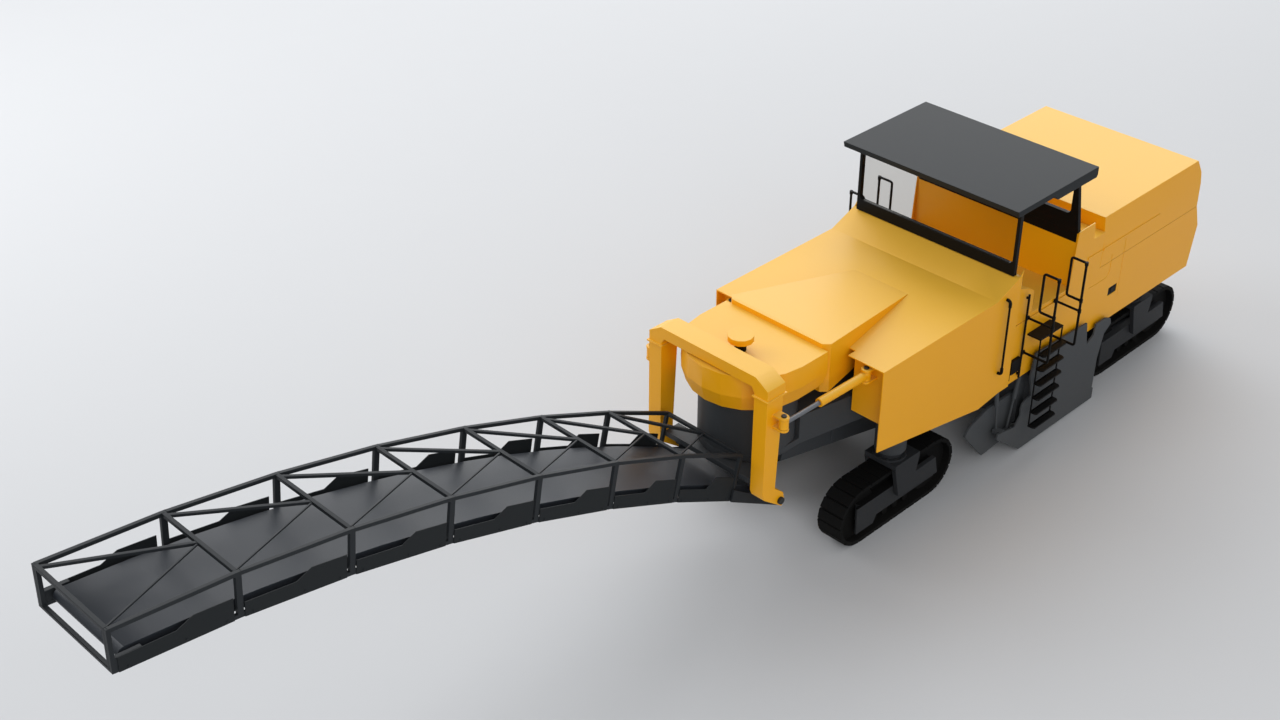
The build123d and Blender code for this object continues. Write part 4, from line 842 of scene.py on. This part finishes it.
set_out("drum_picks", PICKS, places, axes, "drum", "drum_steel", carbide, Length=0.050)

# Return rollers under the belt, one in the middle of each bay
ROLLER_LIFT = 0.009
set_out("return_rollers", ROLLERS, [arc(k + 0.5, ROLLER_LIFT, 0.0) for k in range(BAYS)],
        [(0, 1, 0)] * BAYS, "conveyor", "rod_steel", dark_steel,
        Radius=0.020, Length=0.980, Shaft_Radius=0.008, Shaft_Length=1.072)

# Bolts that hold the skirt plates to the lower chords
BOLT_SHARES, BOLT_LIFT, BOLT_Y = (0.12, 0.45, 0.90), 0.022, 0.583
places, axes = [], []
for k in range(BAYS):
    for share in BOLT_SHARES:
        for sign in (1, -1):
            places.append(arc(k + share, BOLT_LIFT, sign * BOLT_Y))
            axes.append((0, sign, 0))
set_out("skirt_bolts", BOLTS, places, axes, "conveyor", "charcoal_paint", truss_paint,
        Head_Radius=0.009, Head_Height=0.006, Washer_Radius=0.012, Washer_Height=0.002)

# Bolt circle on the flange of each leg's column
FLANGE_Z, FLANGE_R, FLANGE_BOLTS = 0.892, 0.176, 12
for side, centre in LEGS:
    angles = [2 * math.pi * k / FLANGE_BOLTS for k in range(FLANGE_BOLTS)]
    column = Vector((centre.x, centre.y, FLANGE_Z))
    set_out("flange_bolts_" + side, BOLTS,
            [column + Vector((FLANGE_R * math.cos(a), FLANGE_R * math.sin(a), 0)) for a in angles],
            [(0, 0, 1)] * FLANGE_BOLTS, body_of["leg_" + side], "leg_grey", leg_paint,
            Head_Radius=0.012, Head_Height=0.010, Washer_Radius=0.016, Washer_Height=0.002)

# Wall flanges of the hoops
set_out("hoop_flanges", BOLTS, flanges, flange_axes, "chassis", "black_paint", black, 35.0, RAIL_NODE,
        Head_Radius=0.020, Head_Height=0.010, Washer_Radius=0.032, Washer_Height=0.006)


# Floor, world, lamps and camera
FLOOR_HALF = 160.0
LAMP_TARGET = Vector((0.0, 0.0, 1.0))
CAMERA_AT, CAMERA_PITCH, CAMERA_YAW, CAMERA_LENS = (13.248, 10.818, 13.216), 33.09, 135.19, 50.0


def pale_floor():
    size = FLOOR_HALF
    mesh = bpy.data.meshes.new("studio_floor")
    mesh.from_pydata([(-size, -size, GROUND), (size, -size, GROUND), (size, size, GROUND),
                      (-size, size, GROUND)], [], [(0, 1, 2, 3)])
    floor = link(bpy.data.objects.new("studio_floor", mesh))
    mesh.materials.append(finish("floor_paint", (200, 202, 205), 0.90, tone=0.01, bump=0.0, dust=0.0,
                                 specular=0.05))


def pale_world(level, background):
    world = bpy.data.worlds.new("studio")
    bpy.context.scene.world = world
    world.use_nodes = True
    tree = world.node_tree
    light = tree.nodes["Background"]
    wire(tree, light, Color=(1, 1, 1, 1), Strength=level)
    seen = add_node(tree, "ShaderNodeBackground")
    wire(tree, seen, Color=background, Strength=1.0)
    path = add_node(tree, "ShaderNodeLightPath")
    plain = maths(tree, "MAXIMUM", path.outputs["Is Camera Ray"], path.outputs["Is Glossy Ray"])
    plain = maths(tree, "MAXIMUM", plain, path.outputs["Is Transmission Ray"])
    mix = add_node(tree, "ShaderNodeMixShader")
    wire(tree, mix, i0=plain, i1=light.outputs[0], i2=seen.outputs[0])
    tree.links.new(mix.outputs[0], tree.nodes["World Output"].inputs["Surface"])


def softbox(name, towards, distance, size, radiance):
    # Square lamp that faces the middle of the machine from the given direction.
    lamp = bpy.data.lights.new(name, "AREA")
    lamp.shape = "SQUARE"
    lamp.size = size
    lamp.energy = radiance * math.pi * size * size
    obj = link(bpy.data.objects.new(name, lamp))
    direction = Vector(towards).normalized()
    obj.location = LAMP_TARGET + direction * distance
    obj.rotation_euler = direction.to_track_quat("Z", "Y").to_euler()


def photo_camera():
    camera = bpy.data.cameras.new("photo_view")
    camera.lens = CAMERA_LENS
    camera.sensor_width = 36.0
    camera.clip_end = 500.0
    obj = link(bpy.data.objects.new("photo_view", camera))
    obj.location = at(*CAMERA_AT)
    obj.rotation_euler = (math.radians(90 - CAMERA_PITCH), 0.0, math.radians(CAMERA_YAW))
    bpy.context.scene.camera = obj


pale_floor()
pale_world(0.46, linear(226, 228, 231))
softbox("rear_key", (-0.60, -0.58, 0.66), 40.0, 52.0, 1.98)
softbox("right_fill", (0.34, -0.78, 0.50), 26.0, 14.0, 3.5)
softbox("front_fill", (0.42, 0.70, 0.50), 26.0, 16.0, 2.3)
photo_camera()
bpy.context.scene.view_settings.view_transform = "Standard"
